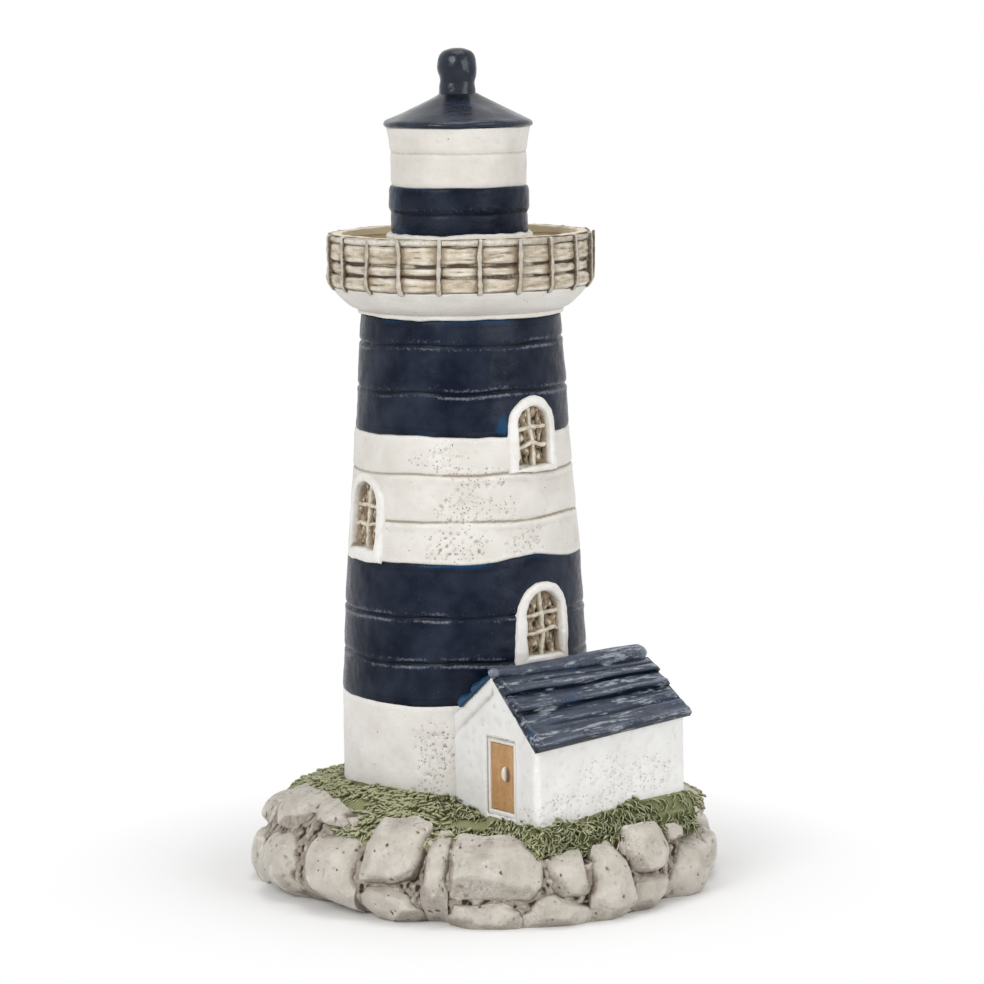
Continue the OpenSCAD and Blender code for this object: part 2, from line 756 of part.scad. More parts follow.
module roof_right_ridge_board() roof_board(-1, 0);
module roof_right_middle_board() roof_board(-1, 1);
module roof_right_eave_board() roof_board(-1, 2);
module roof_left_ridge_board() roof_board(1, 0);
module roof_left_lower_board() roof_board(1, 1);

module roof_ridge_roll() {
    d = roll_slot - fit;
    color(navy) cottage_place() along_ridge(-verge, cottage_l + 2 * verge) difference() {
        translate([cottage_half_w, peak_z + 0.5]) circle(r = roll_r);
        polygon([[cottage_half_w, peak_z], slope_point(-1, far, 0), slope_point(1, far, 0)]);
        for (side = [-1, 1]) polygon([
            slope_point(side, d, -1), slope_point(side, d, board_thin + fit),
            slope_point(side, far, board_thin + fit), slope_point(side, far, -1)]);
    }
}

module door_frame() {
    color(plaster) cottage_place() difference() {
        translate([0.2, door_in - frame_w, core_top + door_foot - frame_w])
            cube([doorway_depth - 0.2, door_w + 2 * frame_w, door_h + 2 * frame_w]);
        translate([-1, door_in, core_top + door_foot]) cube([doorway_depth + 2, door_w, door_h]);
    }
}

module door() {
    color(ochre) cottage_place()
        translate([doorway_depth - door_t, door_in + fit, core_top + door_foot + fit])
            cube([door_t, door_w - 2 * fit, door_h - 2 * fit]);
}

module door_knob() {
    face = doorway_depth - door_t;
    color(cream) cottage_place() translate([face, door_in + door_w * 0.36, core_top + door_foot + door_h * 0.56]) {
        rotate([0, -90, 0]) cylinder(r = knob_r * 0.5, h = knob_r);
        translate([-knob_r, 0, 0]) sphere(r = knob_r, $fn = 32);
    }
}

base_felt();
base_plinth();
stone_left_upper();
stone_left_cap();
stone_left_lower();
stone_front_left_block();
stone_front_left_upper();
stone_front_left_toe();
stone_front_wedge();
stone_front_slab();
stone_front_toe();
stone_front_right_toe();
stone_front_right_cobble();
stone_front_right_block();
stone_right_boulder();
stone_right_toe();
stone_right_lower();
stone_right_pebble();
stone_right_upper();
stones_back_lower();
stones_back_upper();
turf();
tower_foot();
tower_lower_band();
tower_middle();
tower_upper_band();
upper_window_surround();
upper_window_lattice();
upper_window_pane();
lower_window_surround();
lower_window_lattice();
lower_window_pane();
left_window_surround();
left_window_lattice();
left_window_pane();
gallery_corbel();
gallery_deck();
gallery_parapet();
gallery_lower_hoop();
gallery_thin_hoop();
gallery_wide_hoop();
gallery_top_rail();
gallery_posts();
lantern_collar();
lantern_lower();
lantern_upper();
lantern_roof();
finial();
cottage_walls();
roof_right_eave_board();
roof_right_middle_board();
roof_right_ridge_board();
roof_left_lower_board();
roof_left_ridge_board();
roof_ridge_roll();
door_frame();
door();
door_knob();
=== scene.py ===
import math

import bpy
import numpy as np
from mathutils import Matrix, Vector


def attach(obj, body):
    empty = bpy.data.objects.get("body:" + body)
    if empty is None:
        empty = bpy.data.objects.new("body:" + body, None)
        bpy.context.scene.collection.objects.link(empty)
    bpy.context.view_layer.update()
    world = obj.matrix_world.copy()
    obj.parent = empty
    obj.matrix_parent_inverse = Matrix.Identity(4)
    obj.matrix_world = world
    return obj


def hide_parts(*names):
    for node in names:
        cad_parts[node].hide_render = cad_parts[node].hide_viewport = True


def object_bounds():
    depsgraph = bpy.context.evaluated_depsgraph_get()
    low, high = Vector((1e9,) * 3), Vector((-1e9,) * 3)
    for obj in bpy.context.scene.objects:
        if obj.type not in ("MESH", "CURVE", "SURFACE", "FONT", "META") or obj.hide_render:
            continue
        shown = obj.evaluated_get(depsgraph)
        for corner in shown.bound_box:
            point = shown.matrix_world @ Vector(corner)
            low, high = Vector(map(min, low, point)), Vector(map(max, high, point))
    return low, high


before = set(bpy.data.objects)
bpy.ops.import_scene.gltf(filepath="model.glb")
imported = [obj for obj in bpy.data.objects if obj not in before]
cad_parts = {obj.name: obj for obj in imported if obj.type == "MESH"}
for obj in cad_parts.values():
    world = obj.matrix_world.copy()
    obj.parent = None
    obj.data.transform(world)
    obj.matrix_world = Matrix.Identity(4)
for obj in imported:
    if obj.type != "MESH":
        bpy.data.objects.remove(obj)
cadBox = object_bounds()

mm = 0.001
noTris = np.zeros((0, 3), int)


# Shapes in numbers: everything is worked out in millimetres and scaled when a mesh is made

def hashOf(cell, seed):
    # a repeatable number from 0 to 1 for each whole-numbered cell
    key = (cell * np.array([73856093, 19349663, 83492791])).sum(-1) + seed * 668265263
    key = (key ^ (key >> 13)) * 1274126177 & 0xFFFFFFFF
    return ((key ^ (key >> 15)) & 0xFFFF) / 65535


def noiseAt(points, size, seed=0):
    # smooth noise from -1 to 1, with lumps about size across; size may differ by axis
    scaled = np.asarray(points, float) / size
    cell = np.floor(scaled).astype(np.int64)
    step = scaled - cell
    step = step * step * (3 - 2 * step)
    total = np.zeros(scaled.shape[:-1])
    for corner in range(8):
        bits = np.array([corner & 1, corner >> 1 & 1, corner >> 2 & 1])
        weight = np.where(bits, step, 1 - step).prod(-1)
        total += weight * (2 * hashOf(cell + bits, seed) - 1)
    return total


def lumps(points, size, seed=0, octaves=3):
    # noise on noise, each half the size of the one before
    size = np.asarray(size, float)
    return sum(noiseAt(points, size / 2 ** k, seed + 31 * k) / 2 ** k for k in range(octaves)) / 1.6


def pitsAt(points, spacing, width, share, seed=0):
    # depth from 0 to 1 of round pits; share of the cells hold one
    points = np.asarray(points, float)
    cell = np.floor(points / spacing).astype(np.int64)
    deepest = np.zeros(points.shape[:-1])
    for k in range(27):
        near = cell + np.array([k % 3 - 1, k // 3 % 3 - 1, k // 9 - 1])
        jitter = np.stack([hashOf(near, seed + s) for s in (1, 2, 3)], -1)
        gap = np.linalg.norm(points - (near + jitter) * spacing, axis=-1)
        reach = width * (0.35 + 0.65 * hashOf(near, seed + 4))
        there = hashOf(near, seed + 5) < share
        deepest = np.maximum(deepest, there * np.clip(1 - gap / reach, 0, 1))
    return deepest


def smooth(x, low, high):
    # from 0 at low to 1 at high, which may be the smaller one
    t = np.clip((x - low) / (high - low), 0, 1)
    return t * t * (3 - 2 * t)


def hump(x, at, wide):
    return np.exp(-((x - at) / wide) ** 2)


def placed(x, y, z):
    # points from their coordinates, each a number or an array
    return np.stack(np.broadcast_arrays(x, y, z), -1)


def ringPoint(radius, turn, height, centre=(0, 0)):
    # turn is from the front towards +X
    return placed(centre[0] + radius * np.sin(turn), centre[1] - radius * np.cos(turn), height)


def turnOf(points):
    return np.arctan2(points[:, 0], -points[:, 1])


def wrapFaces(rows, cols, closedRows=False):
    # squares of a grid whose columns, and with closedRows its rows too, meet themselves
    row = np.arange(rows if closedRows else rows - 1)[:, None]
    col = np.arange(cols)[None, :]
    after, beside = (row + 1) % rows, (col + 1) % cols
    return np.stack([row * cols + col, row * cols + beside, after * cols + beside, after * cols + col],
                    -1).reshape(-1, 4)


def capped(points, cols, ends):
    # closes rows of points with a fan round a middle point at either end
    points = points.reshape(-1, 3)
    count = len(points)
    here, there = np.arange(cols), (np.arange(cols) + 1) % cols
    foot = np.stack([here * 0 + count, there, here], -1)
    top = np.stack([here * 0 + count + 1, here + count - cols, there + count - cols], -1)
    return np.vstack([points, ends]), wrapFaces(count // cols, cols), np.vstack([foot, top])


def carried(outline, cols, shape, centre=(0, 0)):
    # an outline of (radius, height) carried round a centre, each of its points moved by shape
    outline = np.asarray(outline, float)
    turn = np.linspace(-math.pi, math.pi, cols, endpoint=False)[None, :]
    radius, height = shape(turn, outline[:, :1] + 0 * turn, outline[:, 1:] + 0 * turn)
    return ringPoint(radius, turn, height, centre), height


def turned(profile, cols, shape, centre=(0, 0)):
    # a closed turned piece; profile runs from the middle of the foot to the middle of the top
    points, height = carried(profile, cols, shape, centre)
    return capped(points, cols, [[*centre, height[0].mean()], [*centre, height[-1].mean()]])


def hooped(section, cols, shape):
    # a closed hoop; section is a loop of (radius, height) that goes up on the outside
    points = carried(section, cols, shape)[0]
    return points.reshape(-1, 3), wrapFaces(len(section), cols, True), noTris


def boxGrid(lines):
    # the surface of a box cut by grid lines; lines holds the sorted places along each axis
    size = [len(line) - 1 for line in lines]
    squares = []
    for axis in range(3):
        u, v = (axis + 1) % 3, (axis + 2) % 3
        a, b = np.meshgrid(np.arange(size[u]), np.arange(size[v]), indexing="ij")
        for end, steps in ((0, ((0, 0), (0, 1), (1, 1), (1, 0))), (1, ((0, 0), (1, 0), (1, 1), (0, 1)))):
            square = np.zeros(a.shape + (4, 3), int)
            for k, (du, dv) in enumerate(steps):
                square[..., k, axis] = end * size[axis]
                square[..., k, u] = a + du
                square[..., k, v] = b + dv
            squares.append(square.reshape(-1, 4, 3))
    corners = np.concatenate(squares).reshape(-1, 3)
    cells, index = np.unique(corners, axis=0, return_inverse=True)
    points = np.stack([np.asarray(lines[k], float)[cells[:, k]] for k in range(3)], -1)
    return points, index.reshape(-1, 4), noTris


def stepped(length, cell):
    # grid lines from 0 to length, about a cell apart
    return np.linspace(0, length, max(2, int(round(length / cell)) + 1))


def rounded(points, size, radius):
    # rounds the edges of a box that stands from 0 to size
    inner = np.clip(points, radius, np.asarray(size) - radius)
    out = points - inner
    length = np.linalg.norm(out, axis=-1, keepdims=True)
    return np.where(length > 1e-9, inner + out / np.maximum(length, 1e-9) * radius, points)


barMake = {"sides": 12, "corner": 0.7, "taper": 0.6, "ragged": 0.24, "lump": 1.3}


def barAlong(path, sideways, outwards, wide, thick, seed):
    # a crooked bar with rounded ends along a path, of a soft-cornered section
    path = np.asarray(path, float)
    turn = np.linspace(0, 2 * math.pi, barMake["sides"], endpoint=False)
    taper = np.ones(len(path))
    taper[[0, -1]] = barMake["taper"]
    across, out = (np.sign(c) * np.abs(c) ** barMake["corner"] for c in (np.cos(turn), np.sin(turn)))
    section = (across[:, None] * np.asarray(sideways) * wide / 2
               + out[:, None] * np.asarray(outwards) * thick / 2)
    points = path[:, None, :] + section[None] * taper[:, None, None]
    uneven = barMake["ragged"] * noiseAt(points, barMake["lump"], seed)
    return capped(points + section[None] * uneven[..., None], barMake["sides"], path[[0, -1]])


def outward(shape):
    # turns a closed shell the right way out
    points, quads, tris = shape
    fans = np.vstack([quads[:, [0, 1, 2]], quads[:, [0, 2, 3]], tris])
    a, b, c = (points[fans[:, k]] for k in range(3))
    if (np.cross(a, b) * c).sum() < 0:
        quads, tris = quads[:, ::-1], tris[:, ::-1]
    return points, quads, tris


def joined(*shapes):
    # several closed shells in one mesh
    points, quads, tris, start = [], [], [], 0
    for p, q, t in map(outward, shapes):
        points.append(p)
        quads.append(q + start)
        tris.append(t + start)
        start += len(p)
    return np.vstack(points), np.vstack(quads), np.vstack(tris)


def normalsOf(points, quads, tris):
    total = np.zeros_like(points)
    for faces in (quads[:, [0, 1, 2]], quads[:, [0, 2, 3]], tris):
        if len(faces):
            a, b, c = (points[faces[:, k]] for k in range(3))
            across = np.cross(b - a, c - a)
            for k in range(3):
                for axis in range(3):
                    total[:, axis] += np.bincount(faces[:, k], across[:, axis], len(points))
    return total / np.maximum(np.linalg.norm(total, axis=1, keepdims=True), 1e-12)


def raised(shape, height):
    # moves each point out along its normal by height(points)
    points, quads, tris = outward(shape)
    return points + normalsOf(points, quads, tris) * height(points)[:, None], quads, tris


def hollowsOf(points, quads, tris, passes):
    # how far each point lies below the smoothed surface round it, in millimetres
    pairs = np.vstack([quads[:, [k, (k + 1) % 4]] for k in range(4)]
                      + [tris[:, [k, (k + 1) % 3]] for k in range(3)])
    start, end = np.concatenate([pairs[:, 0], pairs[:, 1]]), np.concatenate([pairs[:, 1], pairs[:, 0]])
    count = np.maximum(np.bincount(start, minlength=len(points)), 1)
    soft = points.copy()
    for _ in range(passes):
        soft = np.stack([np.bincount(start, soft[end, k], len(points)) / count for k in range(3)], -1)
    return ((soft - points) * normalsOf(points, quads, tris)).sum(1)


def addAttribute(mesh, name, values):
    layer = mesh.attributes.new(name, "FLOAT", "POINT")
    layer.data.foreach_set("value", np.asarray(values, np.float32))


def meshOf(name, shape, depth=0.12, passes=5, tone=None, shade=0):
    # a mesh in metres that also tells its finish where it is hollow, with any painted shade added in
    # (relief), and where it is toned
    points, quads, tris = shape
    mesh = bpy.data.meshes.new(name)
    mesh.vertices.add(len(points))
    mesh.vertices.foreach_set("co", (points * mm).astype(np.float32).ravel())
    loops = np.concatenate([quads.ravel(), tris.ravel()]).astype(np.int32)
    mesh.loops.add(len(loops))
    mesh.loops.foreach_set("vertex_index", loops)
    sizes = np.concatenate([np.full(len(quads), 4), np.full(len(tris), 3)])
    mesh.polygons.add(len(sizes))
    mesh.polygons.foreach_set("loop_start", (np.cumsum(sizes) - sizes).astype(np.int32))
    mesh.update(calc_edges=True)
    mesh.validate()
    mesh.shade_smooth()
    relief = np.clip(hollowsOf(points, quads, tris, passes) / depth, -1, 1)
    addAttribute(mesh, "relief", np.clip(relief + shade, -1, 1))
    addAttribute(mesh, "tone", np.zeros(len(points)) if tone is None else np.clip(tone, 0, 1))
    return mesh


def camel(node):
    first, *rest = node.split("_")
    return first + "".join(word.capitalize() for word in rest)


def keepPiece(mesh, node, finish, extra):
    # a piece stands for the CAD node of its name, unless it is an extra one
    piece = bpy.data.objects.new(camel(node), mesh)
    bpy.context.scene.collection.objects.link(piece)
    mesh.materials.clear()
    mesh.materials.append(finish)
    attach(piece, "root")
    if not extra:
        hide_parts(node)


def makePiece(node, shape, finish, depth=0.12, passes=5, tone=None, shade=0, extra=False):
    keepPiece(meshOf(camel(node), shape, depth, passes, tone, shade), node, finish, extra)


def makeToned(node, shape, finish, depth, kept):
    # a turned piece whose shape function has kept the tone and shade of its points
    tone, shade = (np.concatenate([kept[key].ravel(), [0, 0]]) for key in ("tone", "shade"))
    makePiece(node, shape, finish, depth, 5, tone, shade)


# Node trees

def addNode(tree, kind, inputs=None, **settings):
    node = tree.nodes.new(kind)
    for key, value in settings.items():
        setattr(node, key, value)
    for key, value in (inputs or {}).items():
        if isinstance(value, bpy.types.NodeSocket):
            tree.links.new(value, node.inputs[key])
        else:
            node.inputs[key].default_value = value
    return node


socketKinds = {"c": "Color", "f": "Float", "v": "Vector", "g": "Geometry", "i": "Int", "o": "Object",
               "m": "Material"}


def addSockets(tree, inputs, outputs):
    made = {}
    for way, rows in (("INPUT", inputs), ("OUTPUT", outputs)):
        for name, kind in rows:
            made[name] = tree.interface.new_socket(name=name, in_out=way,
                                                   socket_type="NodeSocket" + socketKinds[kind])
    return made


def maths(tree, operation, a, b=0.0, clamp=False):
    return addNode(tree, "ShaderNodeMath", {0: a, 1: b}, operation=operation, use_clamp=clamp).outputs[0]


def ranged(tree, value, low, high, to0=0.0, to1=1.0):
    inputs = {"Value": value, "From Min": low, "From Max": high, "To Min": to0, "To Max": to1}
    return addNode(tree, "ShaderNodeMapRange", inputs).outputs["Result"]


def mixed(tree, share, a, b):
    return addNode(tree, "ShaderNodeMix", {"Factor": share, 6: a, 7: b}, data_type="RGBA").outputs[2]


def noiseNode(tree, point, scale, detail=3.0, rough=0.55):
    inputs = {"Vector": point, "Scale": scale, "Detail": detail, "Roughness": rough}
    return addNode(tree, "ShaderNodeTexNoise", inputs).outputs["Fac"]


# the noise that breaks the wash and painted shade and the rubbing and painted highlights, and the two ends of
# each mask
groupMake = {
    "fineScale": 1.6, "patchEnds": (0.36, 0.68),
    "washNoise": 0.35, "washMiddle": 0.58, "washEnds": (0.0, 0.8),
    "rubNoise": 1.5, "rubMiddle": 0.5, "rubEnds": (0.34, 1.05),
    "pitWidths": (0.14, 0.34), "pitEnds": (0.0, 0.45),
    "brokenScale": 0.31, "brokenEnds": (0.38, 0.62, 0.65, 1.35), "streakSoft": 0.16,
}


def makeWashAndShadeGroup():
    # paint with a darker wash and painted shade settled in the hollows, and paler high spots, rubbed and with
    # painted highlights
    tree = bpy.data.node_groups.new("washedAndShadedPaint", "ShaderNodeTree")
    addSockets(tree, [("Point", "v"), ("Paint", "c"), ("Patchy", "c"), ("Wash", "c"), ("RubbedAndHighlight", "c"),
                      ("Relief", "f"), ("WashAndShade Reach", "f"), ("RubAndHighlight Reach", "f"), ("Patch Size", "f")],
               [("Color", "c"), ("Height", "f")])
    given = addNode(tree, "NodeGroupInput").outputs
    broad = noiseNode(tree, given["Point"], maths(tree, "DIVIDE", 1.0, given["Patch Size"]), 4.0)
    fine = noiseNode(tree, given["Point"], groupMake["fineScale"], 3.0)
    patch = ranged(tree, broad, *groupMake["patchEnds"])
    masks = {}
    for way, high, reach in (("wash", given["Relief"], "WashAndShade Reach"),
                             ("rub", maths(tree, "MULTIPLY", given["Relief"], -1.0), "RubAndHighlight Reach")):
        depth = maths(tree, "MULTIPLY", high, given[reach])
        stray = maths(tree, "MULTIPLY", maths(tree, "SUBTRACT", fine, groupMake[way + "Middle"]),
                      groupMake[way + "Noise"])
        masks[way] = ranged(tree, maths(tree, "ADD", depth, stray), *groupMake[way + "Ends"])
    color = mixed(tree, patch, given["Paint"], given["Patchy"])
    color = mixed(tree, masks["rub"], color, given["RubbedAndHighlight"])
    color = mixed(tree, masks["wash"], color, given["Wash"])
    addNode(tree, "NodeGroupOutput", {"Color": color, "Height": fine})
    return tree


def makeStippleGroup():
    # small round pits, in the places where Cover is high
    tree = bpy.data.node_groups.new("stipple", "ShaderNodeTree")
    addSockets(tree, [("Point", "v"), ("Size", "f"), ("Cover", "f")], [("Mask", "f"), ("Height", "f")])
    given = addNode(tree, "NodeGroupInput").outputs
    scale = maths(tree, "DIVIDE", 1.0, given["Size"])
    cells = addNode(tree, "ShaderNodeTexVoronoi", {"Vector": given["Point"], "Scale": scale})
    picks = addNode(tree, "ShaderNodeSeparateColor", {"Color": cells.outputs["Color"]}).outputs
    there = maths(tree, "LESS_THAN", picks[0], given["Cover"])
    width = ranged(tree, picks[1], 0.0, 1.0, *groupMake["pitWidths"])
    dip = maths(tree, "SUBTRACT", 1.0, maths(tree, "DIVIDE", cells.outputs["Distance"], width), clamp=True)
    dip = maths(tree, "MULTIPLY", dip, there)
    mask = ranged(tree, dip, *groupMake["pitEnds"])
    addNode(tree, "NodeGroupOutput", {"Mask": mask, "Height": maths(tree, "MULTIPLY", dip, -1.0)})
    return tree


def makeStreakGroup():
    # drawn-out brush marks; the piece's own Mapping node lays Point along the stroke
    tree = bpy.data.node_groups.new("brushStreaks", "ShaderNodeTree")
    addSockets(tree, [("Point", "v"), ("Scale", "f"), ("Sparse", "f")], [("Mask", "f"), ("Height", "f")])
    given = addNode(tree, "NodeGroupInput").outputs
    lines = noiseNode(tree, given["Point"], given["Scale"], 4.0, 0.65)
    broken = noiseNode(tree, given["Point"],
                       maths(tree, "MULTIPLY", given["Scale"], groupMake["brokenScale"]), 2.0)
    both = maths(tree, "MULTIPLY", lines, ranged(tree, broken, *groupMake["brokenEnds"]))
    mask = ranged(tree, both, given["Sparse"], maths(tree, "ADD", given["Sparse"], groupMake["streakSoft"]))
    addNode(tree, "NodeGroupOutput", {"Mask": mask, "Height": lines})
    return tree


washAndShadeGroup, stippleGroup, streakGroup = makeWashAndShadeGroup(), makeStippleGroup(), makeStreakGroup()


def useGroup(tree, group, inputs):
    return addNode(tree, "ShaderNodeGroup", inputs, node_tree=group).outputs


def rgb(r, g, b):
    return (r, g, b, 1)


def makeFinish(name, look):
    # one painted finish; look holds its colours and how rough, pitted, streaked or patchy it is
    material = bpy.data.materials.new(name)
    material.use_nodes = True
    tree = material.node_tree
    shader = tree.nodes["Principled BSDF"]
    place = addNode(tree, "ShaderNodeTexCoord").outputs["Object"]
    point = addNode(tree, "ShaderNodeMapping", {"Vector": place, "Scale": (1 / mm,) * 3}).outputs[0]
    relief, tone = (addNode(tree, "ShaderNodeAttribute", attribute_name=layer).outputs["Fac"]
                    for layer in ("relief", "tone"))
    washed = useGroup(tree, washAndShadeGroup, {
        "Point": point, "Relief": relief, "Paint": look["paint"], "Patchy": look["patchy"],
        "Wash": look["wash"], "RubbedAndHighlight": look["rubbed"], "WashAndShade Reach": look["washReach"],
        "RubAndHighlight Reach": look["rubReach"], "Patch Size": look["patchSize"]})
    color, height = washed["Color"], washed["Height"]
    if "streak" in look:
        aim = (0, 0, -math.radians(look["streakTurn"]))
        laid = addNode(tree, "ShaderNodeMapping", {"Vector": place, "Rotation": aim}).outputs[0]
        drawn = tuple(share / mm for share in look["streakShape"])
        laid = addNode(tree, "ShaderNodeMapping", {"Vector": laid, "Scale": drawn}).outputs[0]
        streaks = useGroup(tree, streakGroup, {
            "Point": laid, "Scale": look["streakScale"], "Sparse": look["sparse"]})
        share = maths(tree, "MULTIPLY", streaks["Mask"], look["streakShare"])
        color = mixed(tree, share, color, look["streak"])
        height = maths(tree, "ADD", height, streaks["Height"])
    if "toneColor" in look:
        stray = maths(tree, "MULTIPLY", maths(tree, "SUBTRACT", height, 0.5), look["toneNoise"])
        share = ranged(tree, maths(tree, "ADD", tone, stray), *look["toneEnds"])
        color = mixed(tree, share, color, look["toneColor"])
    if "pit" in look:
        cover = look["pitEverywhere"]
        if look["pitByTone"]:
            cover = maths(tree, "ADD", tone, cover)
        pits = useGroup(tree, stippleGroup, {"Point": point, "Size": look["pitSize"], "Cover": cover})
        color = mixed(tree, maths(tree, "MULTIPLY", pits["Mask"], look["pitShare"]), color, look["pit"])
        height = maths(tree, "ADD", height, maths(tree, "MULTIPLY", pits["Height"], look["pitBump"]))
    tree.links.new(color, shader.inputs["Base Color"])
    tree.links.new(ranged(tree, washed["Height"], 0.3, 0.7, *look["rough"]), shader.inputs["Roughness"])
    bump = addNode(tree, "ShaderNodeBump", {
        "Height": height, "Strength": look["bump"], "Distance": look["bumpDepth"] * mm})
    tree.links.new(bump.outputs["Normal"], shader.inputs["Normal"])
    shader.inputs["Specular IOR Level"].default_value = look["specular"]
    return material


baseLook = {
    "washReach": 0.9, "rubReach": 0.5, "patchSize": 9.0, "bump": 0.5, "bumpDepth": 0.12, "rough": (0.5, 0.65),
    "specular": 0.45, "toneNoise": 0.6, "toneEnds": (0.25, 0.85), "pitShare": 0.85, "pitBump": 2.5,
}


def finish(name, slot, **look):
    # colours are linear red, green and blue
    for key in ("paint", "patchy", "wash", "rubbed", "streak", "toneColor", "pit"):
        if key in look:
            look[key] = rgb(*look[key])
    return makeFinish(name, {**baseLook, **look})


# what the two plasters share, and the two navy paints
plasterLook = {"washReach": 0.95, "rubReach": 0.6, "patchSize": 8.0, "rough": (0.38, 0.55), "bump": 0.7,
               "pit": (0.25, 0.20, 0.16), "pitByTone": True, "pitEverywhere": 0.02, "pitSize": 0.75}
# in the navy paints, the pale rubbed colour on their raised lips and along their grooves is a painted glint
navyLook = {"wash": (0.001, 0.0018, 0.005), "rubbed": (0.16, 0.18, 0.225), "washReach": 0.8, "toneNoise": 0.9}
plaster = finish(
    "whitePlasterPaint", "white_paint", paint=(0.755, 0.735, 0.705), patchy=(0.665, 0.635, 0.59),
    wash=(0.36, 0.30, 0.235), rubbed=(0.82, 0.815, 0.80), **plasterLook)
creamPlaster = finish(
    "creamPlasterPaint", "white_paint", paint=(0.695, 0.672, 0.632), patchy=(0.61, 0.58, 0.53),
    wash=(0.33, 0.275, 0.21), rubbed=(0.77, 0.76, 0.73), **plasterLook)
wallPaint = finish(
    "cottagePlasterPaint", "white_paint", paint=(0.775, 0.772, 0.755), patchy=(0.72, 0.712, 0.69),
    wash=(0.46, 0.42, 0.36), rubbed=(0.83, 0.83, 0.82), washReach=0.8, rubReach=0.6, patchSize=8.0,
    rough=(0.38, 0.55), pit=(0.36, 0.33, 0.29), pitByTone=True, pitEverywhere=0.01, pitSize=0.7, bump=0.7)
# the navy's pale patches stand in for painted sheen as well as uneven paint
navyPaint = finish(
    "navyPaint", "navy_paint", paint=(0.0022, 0.0054, 0.0160), patchy=(0.0190, 0.0260, 0.0440), rubReach=0.75,
    patchSize=9.0, rough=(0.20, 0.38), specular=0.11, toneColor=(0.003, 0.040, 0.100), **navyLook)
glossyNavy = finish(
    "glossyNavyPaint", "navy_paint", paint=(0.0035, 0.0065, 0.0150), patchy=(0.016, 0.024, 0.044),
    rubReach=0.6, patchSize=7.0, rough=(0.12, 0.26), specular=0.34, toneColor=(0.003, 0.030, 0.075),
    bumpDepth=0.10, **navyLook)
roofPaint = finish(
    "roofPaint", "roof_paint", paint=(0.029, 0.036, 0.056), patchy=(0.060, 0.070, 0.098),
    wash=(0.004, 0.006, 0.012), rubbed=(0.20, 0.225, 0.27), washReach=1.3, rubReach=0.8, patchSize=4.0,
    rough=(0.26, 0.44), specular=0.3, streak=(0.50, 0.53, 0.58), streakTurn=39, streakShape=(0.34, 1.8, 1.8),
    streakScale=0.9, streakShare=0.62, sparse=0.60, toneColor=(0.005, 0.045, 0.105), bumpDepth=0.14)
driftwood = finish(
    "driftwoodPaint", "driftwood_paint", paint=(0.65, 0.595, 0.49), patchy=(0.49, 0.405, 0.285),
    wash=(0.040, 0.025, 0.013), rubbed=(0.78, 0.76, 0.71), washReach=1.8, rubReach=0.9, patchSize=3.2,
    rough=(0.5, 0.7), streak=(0.20, 0.14, 0.085), streakTurn=0, streakShape=(0.25, 0.25, 1.7),
    streakScale=0.7, streakShare=0.4, sparse=0.56, toneColor=(0.27, 0.205, 0.130), bumpDepth=0.18)
railPaint = finish(
    "paleRailPaint", "driftwood_paint", paint=(0.47, 0.43, 0.355), patchy=(0.33, 0.28, 0.205),
    wash=(0.05, 0.035, 0.022), rubbed=(0.66, 0.64, 0.585), washReach=1.8, rubReach=0.9, patchSize=1.8,
    rough=(0.45, 0.62), toneColor=(0.72, 0.635, 0.475), bumpDepth=0.16)
postPaint = finish(
    "palePostPaint", "driftwood_paint", paint=(0.53, 0.50, 0.435), patchy=(0.37, 0.325, 0.25),
    wash=(0.05, 0.035, 0.022), rubbed=(0.70, 0.68, 0.63), washReach=1.8, rubReach=0.7, patchSize=1.6,
    rough=(0.45, 0.62), toneColor=(0.10, 0.070, 0.042), toneNoise=0.9, bumpDepth=0.16)
sandPaint = finish(
    "sandPaint", "sand_paint", paint=(0.74, 0.645, 0.48), patchy=(0.67, 0.56, 0.39), wash=(0.36, 0.27, 0.17),
    rubbed=(0.80, 0.735, 0.60), patchSize=8.0, toneColor=(0.060, 0.038, 0.022), bumpDepth=0.14)
windowPaint = finish(
    "windowWash", "dark_wash", paint=(0.33, 0.25, 0.155), patchy=(0.19, 0.135, 0.080),
    wash=(0.018, 0.012, 0.007), rubbed=(0.66, 0.60, 0.49), washReach=1.9, rubReach=1.3, patchSize=2.0,
    rough=(0.55, 0.75), bumpDepth=0.25)
barPaint = finish(
    "windowBarPaint", "driftwood_paint", paint=(0.50, 0.435, 0.325), patchy=(0.33, 0.265, 0.175),
    wash=(0.07, 0.045, 0.025), rubbed=(0.72, 0.675, 0.575), washReach=1.5, rubReach=0.9, patchSize=1.6,
    rough=(0.5, 0.65), bumpDepth=0.15)
reveal = finish(
    "windowPlaster", "white_paint", paint=(0.77, 0.755, 0.73), patchy=(0.70, 0.675, 0.63),
    wash=(0.38, 0.32, 0.24), rubbed=(0.83, 0.825, 0.81), patchSize=6.0, rough=(0.38, 0.55),
    toneColor=(0.36, 0.28, 0.185), bumpDepth=0.14)
ochrePaint = finish(
    "ochrePaint", "ochre_paint", paint=(0.50, 0.275, 0.115), patchy=(0.43, 0.225, 0.085),
    wash=(0.20, 0.095, 0.035), rubbed=(0.62, 0.40, 0.21), patchSize=4.0, rough=(0.42, 0.55),
    streak=(0.60, 0.37, 0.18), streakTurn=39, streakShape=(1.4, 1.4, 0.18), streakScale=1.0, streakShare=0.5,
    sparse=0.50, toneColor=(0.17, 0.085, 0.038))
ivoryPaint = finish(
    "ivoryPaint", "ivory_paint", paint=(0.78, 0.755, 0.69), patchy=(0.70, 0.66, 0.57),
    wash=(0.33, 0.24, 0.15), rubbed=(0.83, 0.82, 0.78), patchSize=2.0, rough=(0.3, 0.45))
